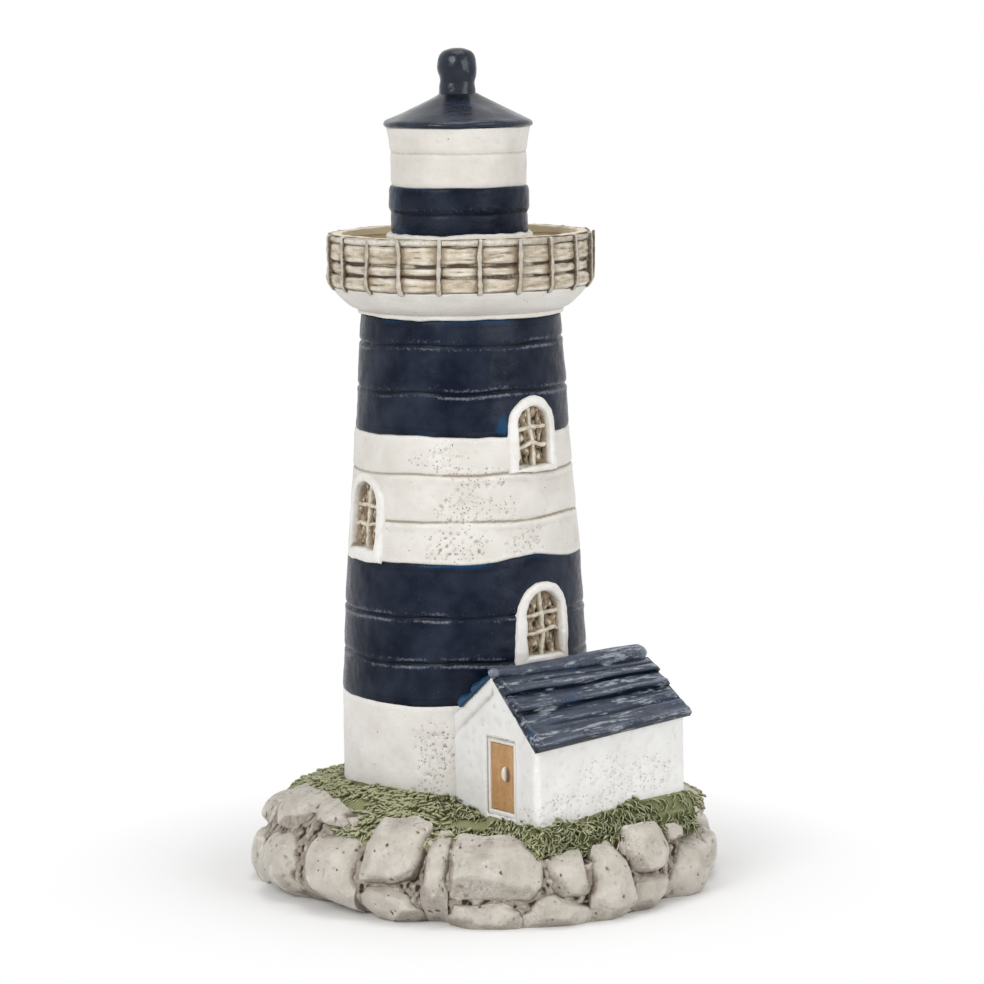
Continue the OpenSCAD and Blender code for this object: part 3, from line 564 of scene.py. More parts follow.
stonePaint = finish(
    "stonePaint", "stone_paint", paint=(0.545, 0.510, 0.455), patchy=(0.405, 0.365, 0.312),
    wash=(0.110, 0.082, 0.056), rubbed=(0.68, 0.66, 0.62), washReach=1.35, rubReach=0.8, patchSize=5.0,
    rough=(0.50, 0.70), toneColor=(0.140, 0.108, 0.078), toneNoise=0.5, pit=(0.11, 0.085, 0.06),
    pitByTone=False, pitEverywhere=0.08, pitSize=1.5, bump=0.8, bumpDepth=0.28)
mortarPaint = finish(
    "mortarWash", "stone_paint", paint=(0.35, 0.305, 0.25), patchy=(0.23, 0.19, 0.15),
    wash=(0.035, 0.025, 0.017), rubbed=(0.52, 0.48, 0.42), washReach=2.0, rubReach=1.0, patchSize=3.0,
    rough=(0.65, 0.85), specular=0.3, bump=0.9, bumpDepth=0.4)
turfPaint = finish(
    "turfPaint", "turf_paint", paint=(0.110, 0.120, 0.042), patchy=(0.060, 0.066, 0.023),
    wash=(0.014, 0.014, 0.006), rubbed=(0.34, 0.35, 0.19), washReach=1.3, rubReach=0.7, patchSize=3.0,
    rough=(0.5, 0.7), specular=0.35, toneColor=(0.235, 0.245, 0.115), toneNoise=0.3, bumpDepth=0.2)
grassPaint = finish(
    "grassPaint", "turf_paint", paint=(0.088, 0.102, 0.028), patchy=(0.185, 0.200, 0.072),
    wash=(0.010, 0.011, 0.003), rubbed=(0.36, 0.38, 0.21), washReach=0.6, rubReach=0.3, patchSize=3.5,
    rough=(0.42, 0.60), specular=0.4, toneColor=(0.66, 0.65, 0.44), toneNoise=0.7, bumpDepth=0.1)
feltCloth = finish(
    "feltCloth", "felt", paint=(0.035, 0.055, 0.032), patchy=(0.045, 0.068, 0.040), wash=(0.02, 0.03, 0.02),
    rubbed=(0.06, 0.085, 0.055), patchSize=2.0, rough=(0.9, 1.0), specular=0.15, bump=0.8, bumpDepth=0.4)
bareResin = finish(
    "bareResin", "bare_resin", paint=(0.30, 0.25, 0.19), patchy=(0.24, 0.195, 0.145), wash=(0.12, 0.09, 0.06),
    rubbed=(0.40, 0.35, 0.28), patchSize=8.0, rough=(0.6, 0.75), bumpDepth=0.3)
for node, material in (("base_felt", feltCloth), ("base_plinth", bareResin)):
    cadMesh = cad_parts[node].data
    cadMesh.materials.clear()
    cadMesh.materials.append(material)
print("finishes mixed")


# Tower

tower = {
    "heights": (14.0, 45.8, 78.9, 109.1, 136.3), "radii": (29.9, 29.8, 28.1, 25.7, 24.0),
    "columns": 480, "cell": 0.35, "groove": 0.62, "grooveWide": 0.38, "bead": 0.18, "beadWide": 0.6,
    "pitSpacing": 1.3, "pitWidth": 0.6, "pitDepth": 0.30, "pitShare": 0.8,
    # rise, turn and half width of the climb in the edge over the lower navy band
    "climb": (1.5, 38, 17),
    # turn, half width, height and half height of the thin blue-green paint beside the upper window
    "teal": (22.5, 4, 111.5, 3.4),
}
# turn from the front, height of the foot, size, height of the sill, and how far the left flank is
# plastered wider towards its foot
windows = {
    "upper": {"turn": 41.5, "foot": 100.1, "wide": 14.2, "high": 17.8, "sill": 1.2, "flare": 0.2},
    "lower": {"turn": 41.5, "foot": 54.6, "wide": 15.4, "high": 19.4, "sill": 2.0, "flare": 0.9},
    "left": {"turn": -59.5, "foot": 78.5, "wide": 15.4, "high": 21.0, "sill": 3.0, "flare": 0.1},
}
border, pocketDepth = 2.2, 3.4
# stippled patches: turn and height of the middle, half width in turn and height
stipplePatches = {
    "tower_foot": ((-14, 33, 12, 9), (3, 28, 6, 8), (-19, 22, 8, 5)),
    "tower_middle": ((-4, 84, 20, 4.5), (4, 92, 19, 5.5), (-10, 104, 15, 3.5), (34, 83, 12, 4),
                     (10, 99, 14, 3)),
}


def wallRadius(height):
    return np.interp(height, tower["heights"], tower["radii"])


def bandEdge(turn, seed):
    # how far a painted edge strays up or down round the tower
    place = ringPoint(20.0, turn, 7.0 * seed)
    stray = 0.42 * noiseAt(place, 9.0, seed) + 0.16 * noiseAt(place, 2.6, seed + 3)
    if seed == 2:
        rise, at, wide = tower["climb"]
        stray = stray + rise * hump(np.degrees(turn), at, wide)
    return stray


def inArch(x, y, wide, high, inset):
    # how far inside a round-headed opening a point lies, in millimetres
    half = wide / 2 - inset
    spring = high - wide / 2
    side = half - np.abs(x)
    head = half - np.hypot(x, y - spring)
    return np.where(y < spring, np.minimum(side, y - inset), head)


def archDepth(turn, height, radius):
    # depth of the pockets that the windows sit in
    depth = 0 * radius
    for win in windows.values():
        away = (np.degrees(turn) - win["turn"] + 180) % 360 - 180
        x = radius * np.sin(np.radians(away))
        inside = inArch(x, height - win["foot"], win["wide"], win["high"], border * 0.5)
        depth = np.maximum(depth, np.where(np.abs(away) < 60, smooth(inside, 0.0, 0.5), 0) * pocketDepth)
    return depth


def towerTeal(turn, height):
    at, wide, level, high = tower["teal"]
    beside = np.hypot((np.degrees(turn) - at) / wide, (height - level) / high)
    beside = beside + 0.4 * noiseAt(ringPoint(25.0, turn, height), 1.6, 91)
    return 0.9 * smooth(beside, 1.2, 0.3)


def towerDrum(node, index, joints, finishUsed, spread=1.0):
    # joints are the carved ones, as shares of the drum's height
    low, high = tower["heights"][index:index + 2]
    rows = int((high - low) / tower["cell"])
    share = np.linspace(0, 1, rows)
    profile = np.stack([np.full(rows, 1.0), share], -1)
    navy = finishUsed is navyPaint
    kept = {}

    def shape(turn, radius, share):
        edgeLow, edgeHigh = bandEdge(turn, index), bandEdge(turn, index + 1)
        height = low + (high - low) * share + edgeLow * (1 - share) + edgeHigh * share
        radius = wallRadius(height)
        place = ringPoint(radius, turn, height)
        out = 0.24 * lumps(place, (8, 8, 9), 11 + index, 3) + 0.055 * noiseAt(place, 1.7, 5 + index)
        plan = place * [1, 1, 0]
        for number, joint in enumerate(joints):
            middle = low + (high - low) * joint + 0.55 * noiseAt(plan, 11, 40 + index * 7 + number)
            strength = 0.30 + 0.70 * smooth(noiseAt(plan, 7, 60 + index * 5 + number), -0.5, 0.35)
            away = height - middle
            out = out - strength * tower["groove"] * hump(away, 0, tower["grooveWide"])
            out = out + strength * tower["bead"] * hump(away, -0.95, tower["beadWide"])
            out = out + 0.10 * smooth(away, 0.2, 1.5) * smooth(away, 6, 3)
        cover = 0 * radius
        for t, h, dt, dh in stipplePatches.get(node, ()):
            away = np.hypot((np.degrees(turn) - t) / dt, (height - h) / dh)
            cover = np.maximum(cover, smooth(away + 0.45 * noiseAt(place, 4.0, 9), 1.15, 0.55))
        if cover.max() > 0:
            pits = pitsAt(place, tower["pitSpacing"], tower["pitWidth"], tower["pitShare"], index)
            out = out - tower["pitDepth"] * pits * cover
            out = out + 0.13 * noiseAt(place, 0.95, 15 + index) * cover
        if navy:
            edge = np.minimum(height - low - edgeLow, high + edgeHigh - height)
            blotch = smooth(noiseAt(place, (8, 8, 5), 90 + index), 0.4, 1.0)
            patchy = smooth(noiseAt(place, (9, 9, 3), 70 + index), 0.0, 0.7)
            cover = smooth(edge, 1.4, 0.1) * patchy * 0.8 + 0.2 * blotch
            cover = cover + towerTeal(turn, height)
        edges = np.minimum(share, 1 - share) * (high - low)
        out = out - (0.12 if navy else 0.35) * smooth(edges, 0.7, 0.0) ** 2 * spread
        kept["tone"] = cover
        # painted shade where one colour meets the next, in place of a pale rubbed rim with painted highlight;
        # a dark line along the navy's edges
        kept["shade"] = smooth(edges, 2.2, 0.5) * (1.35 if navy else 0.2)
        return radius + out - archDepth(turn, height, radius), height

    makeToned(node, turned(profile, tower["columns"], shape), finishUsed, 0.13, kept)


towerDrum("tower_foot", 0, (), plaster, 0.4)
towerDrum("tower_lower_band", 1, (0.3, 0.62), navyPaint)
towerDrum("tower_middle", 2, (0.34, 0.7), creamPlaster)
towerDrum("tower_upper_band", 3, (0.37, 0.78), navyPaint)
print("tower turned")


# Windows

windowMake = {
    "along": 150, "lumpy": 0.22, "paneDepth": 1.9, "paneRough": 1.0, "paneCells": (40, 56, 4),
    "bar": 1.05, "barThick": 1.5, "uprightDepth": 1.65, "crossDepth": 1.45, "crossLevels": (0.34, 0.64),
}
# offset in from the outer edge as a share of the border, and depth out of the wall, round the section
surroundSection = [
    (-0.02, -0.9), (0.0, 0.1), (0.05, 0.62), (0.25, 0.88), (0.5, 0.95), (0.75, 0.88), (0.93, 0.6), (1.0, 0.1),
    (1.02, -0.6), (1.04, -1.3), (1.05, -2.0), (1.05, -2.8), (0.8, -3.1), (0.3, -2.4)]


def archLoop(win, inset, count):
    # a round-headed outline, drawn in by inset; the foot is drawn in by the sill's share of it
    half = win["wide"] / 2 - inset
    spring = win["high"] - win["wide"] / 2
    foot = inset / border * win["sill"]
    side, head = int(count * 0.2), int(count * 0.38)
    base = count - 2 * side - head
    up = np.linspace(0, 1, side, endpoint=False)
    bow = np.linspace(0, math.pi, head, endpoint=False)
    left = np.stack([-half + 0 * up, foot + (spring - foot) * up], -1)
    arc = np.stack([-half * np.cos(bow), spring + half * np.sin(bow)], -1)
    right = np.stack([half + 0 * up, spring + (foot - spring) * up], -1)
    across = np.linspace(0, 1, base, endpoint=False)
    floor = np.stack([half - 2 * half * across, foot + 0 * across], -1)
    return np.vstack([left, arc, right, floor])


def onWall(win, x, y, out):
    # a point x to the right, y up from the window's foot, and out of the wall
    turn = math.radians(win["turn"])
    height = win["foot"] + y
    reach = np.sqrt(np.maximum(wallRadius(height) ** 2 - np.asarray(x) ** 2, 1)) + out
    return placed(reach * math.sin(turn) + x * math.cos(turn), -reach * math.cos(turn) + x * math.sin(turn),
                  height)


def makeSurround(key, win, seed):
    fineSection = []
    for k, (a, b) in enumerate(zip(surroundSection, surroundSection[1:] + surroundSection[:1])):
        steps = 3 if k < 8 else 2
        fineSection += [tuple(np.array(a) + (np.array(b) - a) * s / steps) for s in range(steps)]
    rows = []
    for share, out in fineSection:
        loop = archLoop(win, share * border, windowMake["along"])
        towardsFoot = smooth(loop[:, 1], win["high"] * 0.8, 2)
        wider = win["flare"] * smooth(-loop[:, 0], 1, 6) * towardsFoot * (1 - share)
        rows.append(onWall(win, loop[:, 0] - wider, loop[:, 1], out))
    loops = (np.concatenate(rows), wrapFaces(len(rows), windowMake["along"], True), noTris)
    loops = raised(loops, lambda p: (
        windowMake["lumpy"] * lumps(p, 3.4, seed, 3) * 1.6 + 0.05 * noiseAt(p, 0.9, seed)))
    inner, out = (np.repeat([row[k] for row in fineSection], windowMake["along"]) for k in (0, 1))
    tone = smooth(inner, 0.9, 1.02) * smooth(out, 0.1, -1.2) * 0.75
    makePiece(key + "_window_surround", loops, reveal, 0.14, 5, tone)


def makePane(key, win, wide, high, seed):
    across, up, deep = windowMake["paneCells"]
    p, q, t = boxGrid([np.linspace(-1, 1, across), np.linspace(0, 1, up), np.linspace(-1.1, 0, deep)])
    y = p[:, 1] * (high + 0.8) - 0.4
    arch = np.sqrt(np.maximum((wide / 2) ** 2 - (y - high + wide / 2) ** 2, 0.3))
    x = p[:, 0] * (np.where(y < high - wide / 2, wide / 2, arch) + 0.5)
    out = -windowMake["paneDepth"] + p[:, 2]
    plain = onWall(win, x, y + win["sill"], out)
    rough = smooth(p[:, 2], -0.5, 0) * windowMake["paneRough"] * lumps(plain, (1.5, 1.5, 2.2), seed, 3)
    sheet = onWall(win, x, y + win["sill"], out + rough)
    makePiece(key + "_window_pane", (sheet, q, t), windowPaint, 0.28, 6)


def makeLattice(key, win, wide, high, seed):
    # one upright and two cross bars, each leaning or sagging in its own way
    turn = math.radians(win["turn"])
    sideways, outwards = (math.cos(turn), math.sin(turn), 0), (math.sin(turn), -math.cos(turn), 0)
    up = np.linspace(-0.5, high + 0.4, 30)
    lean = 0.75 * noiseAt(placed(up, 0, seed), 4.5, seed)
    path = onWall(win, lean + 0.1, up + win["sill"], -windowMake["uprightDepth"] + 0.2 * lean)
    bars = [barAlong(path, sideways, outwards, windowMake["bar"], windowMake["barThick"], seed + 1)]
    for number, level in enumerate(windowMake["crossLevels"]):
        across = np.linspace(-wide / 2 - 0.4, wide / 2 + 0.4, 26)
        sag = 0.8 * noiseAt(placed(across, 9 * number, seed), 3.6, seed + 2)
        y = high * level + sag + win["sill"] + 0.05 * across
        path = onWall(win, across, y, -windowMake["crossDepth"] + 0.15 * sag)
        bars.append(barAlong(path, (0, 0, 1), outwards, windowMake["bar"] * 0.95, windowMake["barThick"],
                             seed + 3 + number))
    makePiece(key + "_window_lattice", joined(*bars), barPaint, 0.2, 4)


for number, (key, win) in enumerate(windows.items()):
    seed = 100 + 10 * number
    opening = (win["wide"] - 2 * border, win["high"] - win["sill"] - border)
    makeSurround(key, win, seed)
    makePane(key, win, *opening, seed + 5)
    makeLattice(key, win, *opening, seed)
print("windows set in")


# Gallery

posts = {"count": 21, "circle": 31.75, "foot": 142.4, "high": 13.4, "wide": 0.95, "thick": 1.25, "lean": 0.05,
         "seed": 7, "lowest": 142.3, "highest": 155.95, "ledge": 144.3, "outermost": 32.5}
gallery = {
    "hoopColumns": 640, "corbelColumns": 400, "parapetColumns": 480, "deckColumns": 300,
    "coveInner": 24.7, "coveReach": 5.9, "coveHigh": 5.6, "foot": 143.2, "deckTop": 150.5, "deckRadius": 28.4,
    "wallInner": 28.6, "wallOuter": 30.9, "wallTop": 154.1,
    "hoopInner": 30.95, "hoopOuter": 31.7,
    "hoops": {"lower": (143.4, 146.5), "thin": (147.2, 149.2), "wide": (150.0, 153.8)},
    "railInner": 28.2, "railOuter": 31.7, "railFoot": 154.1, "railTop": 155.7,
}


def sectionLoop(inner, outer, low, high, cell):
    # a rectangular section that goes up on the outside, over the top and down inside
    up = np.arange(low, high, cell)
    over = np.arange(outer, inner, -cell)
    down = np.arange(high, low, -cell)
    under = np.arange(inner, outer, cell)
    return np.vstack([np.stack([outer + 0 * up, up], -1), np.stack([over, high + 0 * over], -1),
                      np.stack([inner + 0 * down, down], -1), np.stack([under, low + 0 * under], -1)])


def plankHoop(node, inner, outer, low, high, seed, ragged, isRail=False):
    # a bent board with split grain, nicks, sunken lengths and ragged edges

    def shape(turn, radius, height):
        place = ringPoint(radius, turn, height)
        plan = place * [1, 1, 0]
        grain = lumps(place, (8, 8, 1.3), seed, 3)
        nick = pitsAt(plan + [0, 0, seed], 6.0, 0.9, 0.35, seed + 5)
        outside = smooth(radius, outer - 0.45, outer - 0.05)
        inside = smooth(radius, inner + 0.4, inner) * (outer - inner > 2)
        corner = outside * (smooth(height, high - 0.55, high) + smooth(height, low + 0.5, low))
        sunken = 0.30 * smooth(noiseAt(plan + [0, 0, seed], 5.0, seed + 9), 0.1, 0.7)
        split = outside * (0.30 * grain - 0.10 - 0.45 * nick - sunken)
        radius = radius + split - 0.42 * corner + inside * 0.2 * grain
        middle = (low + high) / 2
        side = np.sign(height - middle) * smooth(np.abs(height - middle), 0.3, (high - low) / 2)
        wave = 0.65 * noiseAt(plan, 6.0, seed + 2) + 0.35 * noiseAt(plan, 2.2, seed + 7)
        height = height + ragged * wave * np.abs(side) * np.where(side > 0, 1, -0.8) - 0.25 * nick * side
        return radius, height

    points, quads, tris = hooped(sectionLoop(inner, outer, low, high, 0.3), gallery["hoopColumns"], shape)
    shade = 0
    if isRail:
        radius = np.hypot(points[:, 0], points[:, 1])
        tone = smooth(radius, outer - 0.8, outer - 1.8)
        shade = 0.7 * smooth(lumps(points, (5, 5, 1.2), seed + 16), -0.3, 0.5) * (1 - tone)
    else:
        # brown wash and painted shade gather beside each post
        pitch = 360 / posts["count"]
        away = np.abs(np.degrees(turnOf(points)) % pitch - pitch / 2) * outer * math.pi / 180
        stray = noiseAt(points, (2.0, 2.0, 0.9), seed + 12)
        close, wide = smooth(away + 0.3 * stray, 1.35, 0.7), smooth(away + stray, 3.2, 0.6)
        tone = np.maximum(0.9 * close, 0.45 * wide)
        tone = np.maximum(tone, 0.5 * smooth(lumps(points, (4.0, 4.0, 1.2), seed + 14), 0.1, 0.9))
    makePiece(node, (points, quads, tris), railPaint if isRail else driftwood, 0.12, 4, tone, shade)


def makeCorbel():
    # the cove, from the tower's top out to the foot of the boarding
    low = tower["heights"][-1]
    profile = [(r, low) for r in np.arange(2, 24.6, 1.2)] + [(24.6, low + 0.35)]
    for s in np.linspace(0, 1, 24):
        reach = gallery["coveReach"] * max(0, (s - 0.12) / 0.88) ** 0.6
        profile.append((gallery["coveInner"] + reach, low + 0.8 + gallery["coveHigh"] * s))
    profile += [(30.75, 142.95), (30.7, 143.2)] + [(r, 143.25) for r in np.arange(29.5, 1, -2)]
    rows = len(profile)
    at = np.linspace(0, rows - 1, rows * 2)
    fine = np.stack([np.interp(at, np.arange(rows), column) for column in np.array(profile).T], -1)

    def shape(turn, radius, height):
        place = ringPoint(radius, turn, height)
        skin = smooth(radius, 20, 23)
        radius = radius + skin * (0.22 * lumps(place, (6, 6, 3), 21, 3))
        wave = bandEdge(turn, 4) * smooth(height, low + 2.0, low)
        return radius, height + (wave + 0.25 * noiseAt(place, 4, 23) * skin * smooth(height, 141, 142))

    makePiece("gallery_corbel", turned(fine, gallery["corbelColumns"], shape), creamPlaster, 0.16, 6)


def makeParapet():
    section = sectionLoop(*(gallery[key] for key in ("wallInner", "wallOuter", "foot", "wallTop")), 0.5)

    def shape(turn, radius, height):
        place = ringPoint(radius, turn, height)
        return radius + smooth(radius, 29.4, 28.7) * 0.2 * lumps(place, (5, 5, 2.5), 31, 2), height

    points, quads, tris = hooped(section, gallery["parapetColumns"], shape)
    # the outer face, which shows between the boards, is painted dark brown in patches: brown wash and painted
    # shade
    patchy = 0.55 + 0.45 * smooth(noiseAt(points, (4, 4, 1.5), 33), -0.5, 0.4)
    tone = smooth(np.hypot(points[:, 0], points[:, 1]), 30.0, 30.6) * patchy
    makePiece("gallery_parapet", (points, quads, tris), sandPaint, 0.15, 5, tone)


def makeDeck():
    edge = gallery["deckRadius"]
    profile = [(r, gallery["foot"]) for r in np.arange(2, edge, 3)]
    profile += [(edge, z) for z in np.arange(143.3, 150.4, 0.7)]
    profile += [(r, gallery["deckTop"]) for r in np.arange(edge, 1, -0.7)]

    def shape(turn, radius, height):
        place = ringPoint(radius, turn, height)
        return radius, height + smooth(height, 149.8, 150.4) * (0.3 * lumps(place, 5, 35, 3) - 0.3)

    makePiece("gallery_deck", turned(profile, gallery["deckColumns"], shape), sandPaint, 0.2, 6)


makeCorbel()
makeParapet()
makeDeck()
for number, (key, ends) in enumerate(gallery["hoops"].items()):
    plankHoop("gallery_" + key + "_hoop", gallery["hoopInner"], gallery["hoopOuter"], *ends,
              210 + 9 * number, 0.42)
plankHoop("gallery_top_rail", *(gallery[key] for key in ("railInner", "railOuter", "railFoot", "railTop")),
          250, 0.25, True)


# The gallery's posts, set round a circle by Geometry Nodes

def finishNodes(tree, geometry, material):
    real = addNode(tree, "GeometryNodeRealizeInstances", {"Geometry": geometry}).outputs[0]
    painted = addNode(tree, "GeometryNodeSetMaterial", {"Geometry": real, "Material": material}).outputs[0]
    addNode(tree, "NodeGroupOutput", {"Geometry": painted})


def grownMesh(mesh, tree, sockets, values):
    # runs a Geometry Nodes tree on a mesh and gives back its result as a plain mesh
    holder = bpy.data.objects.new("holder", mesh)
    bpy.context.scene.collection.objects.link(holder)
    modifier = holder.modifiers.new("grow", "NODES")
    modifier.node_group = tree
    for name, value in values.items():
        modifier[sockets[name].identifier] = value
    bpy.context.view_layer.update()
    result = bpy.data.meshes.new_from_object(holder.evaluated_get(bpy.context.evaluated_depsgraph_get()))
    holder.modifiers.remove(modifier)
    bpy.data.objects.remove(holder)
    return result


def shapeOfMesh(mesh):
    points = np.zeros(len(mesh.vertices) * 3)
    mesh.vertices.foreach_get("co", points)
    faces = [tuple(face.vertices) for face in mesh.polygons]
    quads = np.array([f for f in faces if len(f) == 4], int).reshape(-1, 4)
    tris = np.array([f for f in faces if len(f) == 3], int).reshape(-1, 3)
    return points.reshape(-1, 3) / mm, quads, tris


def postTree():
    # posts round a circle, each leaning a little its own way
    tree = bpy.data.node_groups.new("postRing", "GeometryNodeTree")
    sockets = addSockets(tree, [("Post", "g"), ("Count", "i"), ("Circle Radius", "f"), ("Foot Height", "f"),
                                ("Lean", "f"), ("Seed", "i"), ("Material", "m")], [("Geometry", "g")])
    given = addNode(tree, "NodeGroupInput").outputs
    circle = addNode(tree, "GeometryNodeMeshCircle", {
        "Vertices": given["Count"], "Radius": given["Circle Radius"]}).outputs[0]
    index = addNode(tree, "GeometryNodeInputIndex").outputs[0]
    angle = maths(tree, "MULTIPLY", maths(tree, "DIVIDE", index, given["Count"]), 2 * math.pi)
    lean = addNode(tree, "FunctionNodeRandomValue", {0: (-1, -1, 0), 1: (1, 1, 0), "Seed": given["Seed"]},
                   data_type="FLOAT_VECTOR")
    tilt = addNode(tree, "ShaderNodeVectorMath", {0: lean.outputs[0], "Scale": given["Lean"]},
                   operation="SCALE").outputs[0]
    spin = addNode(tree, "ShaderNodeCombineXYZ", {"Z": angle}).outputs[0]
    euler = addNode(tree, "ShaderNodeVectorMath", {0: tilt, 1: spin}, operation="ADD").outputs[0]
    rotation = addNode(tree, "FunctionNodeEulerToRotation", {0: euler}).outputs[0]
    standing = addNode(tree, "GeometryNodeInstanceOnPoints", {
        "Points": circle, "Instance": given["Post"], "Rotation": rotation}).outputs[0]
    lift = addNode(tree, "ShaderNodeCombineXYZ", {"Z": given["Foot Height"]}).outputs[0]
    half = maths(tree, "SUBTRACT", maths(tree, "DIVIDE", math.pi, given["Count"]), math.pi / 2)
    turnBy = addNode(tree, "ShaderNodeCombineXYZ", {"Z": half}).outputs[0]
    lifted = addNode(tree, "GeometryNodeTransform", {
        "Geometry": standing, "Translation": lift, "Rotation": turnBy}).outputs[0]
    finishNodes(tree, lifted, given["Material"])
    return tree, sockets


def makePosts():
    size = np.array([posts["thick"], posts["wide"], posts["high"]])
    p, q, t = boxGrid([stepped(size[0], 0.3), stepped(size[1], 0.3), stepped(size[2], 0.35)])
    p = rounded(p, size, 0.5) - size * [0.5, 0.5, 0]
    # the foot spreads into a blob, and the post is thicker where it crosses each board
    swell = 1 + 0.5 * hump(p[:, 2], 0.8, 0.7)
    for low, high in gallery["hoops"].values():
        swell = swell + 0.22 * hump(p[:, 2] + posts["foot"], (low + high) / 2, 0.9)
    p = p * placed(1, swell, 1)
    # the flanks are painted darker brown than the face
    flank = 0.8 * smooth(np.abs(p[:, 1]) / (swell * posts["wide"]), 0.30, 0.48)
    mesh = grownMesh(meshOf("post", (p, q, t), tone=flank), *postTree(), {
        "Count": posts["count"], "Circle Radius": posts["circle"] * mm, "Foot Height": posts["foot"] * mm,
        "Lean": posts["lean"], "Seed": posts["seed"], "Material": driftwood})
    points, quads, tris = shapeOfMesh(mesh)
    tone = np.zeros(len(points))
    mesh.attributes["tone"].data.foreach_get("value", tone)
    turn = turnOf(points)
    crooked = 0.55 * noiseAt(points, (9, 9, 4.6), 61)
    points = points + placed(np.cos(turn), np.sin(turn), 0) * crooked[:, None]
    points, quads, tris = raised((points, quads, tris), lambda p: 0.2 * noiseAt(p, (1.6, 1.6, 1.2), 62))
    # each foot bends in over the ledge and runs out in a drip
    reach = np.hypot(points[:, 0], points[:, 1])
    bent = np.minimum(reach, posts["outermost"]) - 0.6 * np.maximum(posts["ledge"] - points[:, 2], 0)
    points[:, :2] *= (bent / reach)[:, None]
    points[:, 2] = np.clip(points[:, 2], posts["lowest"], posts["highest"])
    makePiece("gallery_posts", (points, quads, tris), postPaint, 0.25, 3, tone)


makePosts()
print("gallery boarded")


# Lantern

lantern = {
    "columns": 330, "collarColumns": 360,
    "lantern_lower": [
        (15.9, 155.0), (16.35, 155.6), (16.4, 158.5), (16.4, 160.1), (16.1, 160.5), (16.5, 160.9),
        (16.8, 161.6), (16.8, 164.5), (16.75, 166.2), (16.4, 166.8)],
    "lantern_upper": [
        (15.9, 166.6), (16.15, 167.4), (16.25, 171.0), (16.3, 174.4), (15.95, 174.8), (16.4, 175.2),
        (16.6, 177.5), (17.0, 179.8), (17.15, 180.8)],
    "lantern_roof": [
        (15.5, 180.8), (17.2, 180.75), (17.75, 180.9), (17.98, 181.35), (17.9, 181.95), (17.4, 182.35),
        (16.2, 182.85), (13.0, 184.3), (9.7, 185.9), (7.1, 187.25), (5.6, 188.0), (4.6, 188.6)],
    "finial": [
        (4.5, 188.2), (4.42, 189.0), (4.35, 190.6), (4.12, 191.5), (4.38, 192.2), (4.72, 193.6),
        (4.78, 195.0), (4.62, 196.5), (4.1, 197.9), (3.2, 198.8), (1.9, 199.25), (0.8, 199.38)],
}


def thickened(line, cell):
    # more points along a profile, with its bends rounded a little
    line = np.array(line, float)
    gaps = np.hypot(*np.diff(line, axis=0).T)
    along = np.concatenate([[0], np.cumsum(gaps)])
    fine = np.linspace(0, along[-1], int(along[-1] / cell) + 2)
    out = np.stack([np.interp(fine, along, line[:, k]) for k in (0, 1)], -1)
    for _ in range(3):
        out[1:-1] = (out[:-2] + 2 * out[1:-1] + out[2:]) / 4
    return out


def lanternPart(node, finishUsed, seed, rough=0.16, slope=0.0):
    line = thickened(lantern[node], 0.32)
    capLow = [(r, line[0][1]) for r in np.arange(1, line[0][0] - 0.5, 3)]
    capHigh = [(r, line[-1][1]) for r in np.arange(line[-1][0] - 0.8, 0.3, -2)]
    navy = finishUsed is not creamPlaster
    kept = {}

    def shape(turn, radius, height):
        place = ringPoint(radius, turn, height)
        skin = smooth(radius, 1.0, 3.0)
        uneven = rough * lumps(place, (4.5, 4.5, 3.5), seed, 3) + 0.04 * noiseAt(place, 1.2, seed)
        radius = radius + skin * uneven
        stray = 0.22 * noiseAt(place * [1, 1, 0], 6, seed + 4)
        edges = np.minimum(height - line[0][1], line[-1][1] - height)
        kept["tone"] = smooth(noiseAt(place, (7, 7, 4), seed + 9), 0.2, 0.85) * (0.55 if navy else 0)
        kept["shade"] = smooth(edges, 1.7, 0.4) * (1.1 if navy else 0.2)
        return radius, height + skin * stray - slope * np.sin(turn) * radius

    profile = capLow + line.tolist() + capHigh
    makeToned(node, turned(profile, lantern["columns"], shape), finishUsed, 0.15, kept)


def makeCollar():
    # the wavy fillet of plaster round the lantern's foot
    profile = [(r, 150.2) for r in (2, 8, 14)] + [(17.6, 150.3)]
    profile += [(17.5, z) for z in np.arange(150.8, 154.9, 0.4)]
    profile += [(17.2, 155.1), (16.8, 155.3), (16.2, 155.4), (14, 155.4), (8, 155.3), (2, 155.3)]

    def shape(turn, radius, height):
        place = ringPoint(radius, turn, height)
        skin = smooth(radius, 14, 16)
        radius = radius + skin * (0.45 * lumps(place, (4, 4, 4), 81, 3))
        wave = 0.35 + 0.5 * lumps(place * [1, 1, 0], 4, 83, 2)
        return radius, height + skin * smooth(height, 152, 155) * wave

    makePiece("lantern_collar", turned(profile, lantern["collarColumns"], shape), creamPlaster, 0.25, 6)


makeCollar()
lanternPart("lantern_lower", navyPaint, 300, slope=0.006)
lanternPart("lantern_upper", creamPlaster, 320, slope=0.006)
lanternPart("lantern_roof", glossyNavy, 340, 0.12)
lanternPart("finial", glossyNavy, 360, 0.24)
print("lantern raised")


# Cottage, in its own frame: X along the ridge from the door gable, Y from the outer wall to the tower

cottage = {
    "turn": 39.0, "gable": 21.5, "ridge": 37.2, "long": 46.0, "half": 15.3, "foot": 14.0, "peak": 55.4,
    "fall": 0.8, "outerPitch": (44.4, 37.7), "innerPitch": (38.0, 38.0), "verge": 0.9, "corner": 1.3,
    "cells": (0.55, 0.5), "rows": 84,
    # the door's sides across the gable, its foot and its head
    "door": (8.7, 17.3, 23.6, 39.6), "frame": 1.1, "doorway": 1.8,
    # middle and reach of each stippled patch, in the cottage's own frame
    "stippled": ((0, 0, 21, 6), (6, 0, 23, 7), (22, 0, 28, 8), (34, 0, 30, 5), (0, 3, 23, 4)),
}


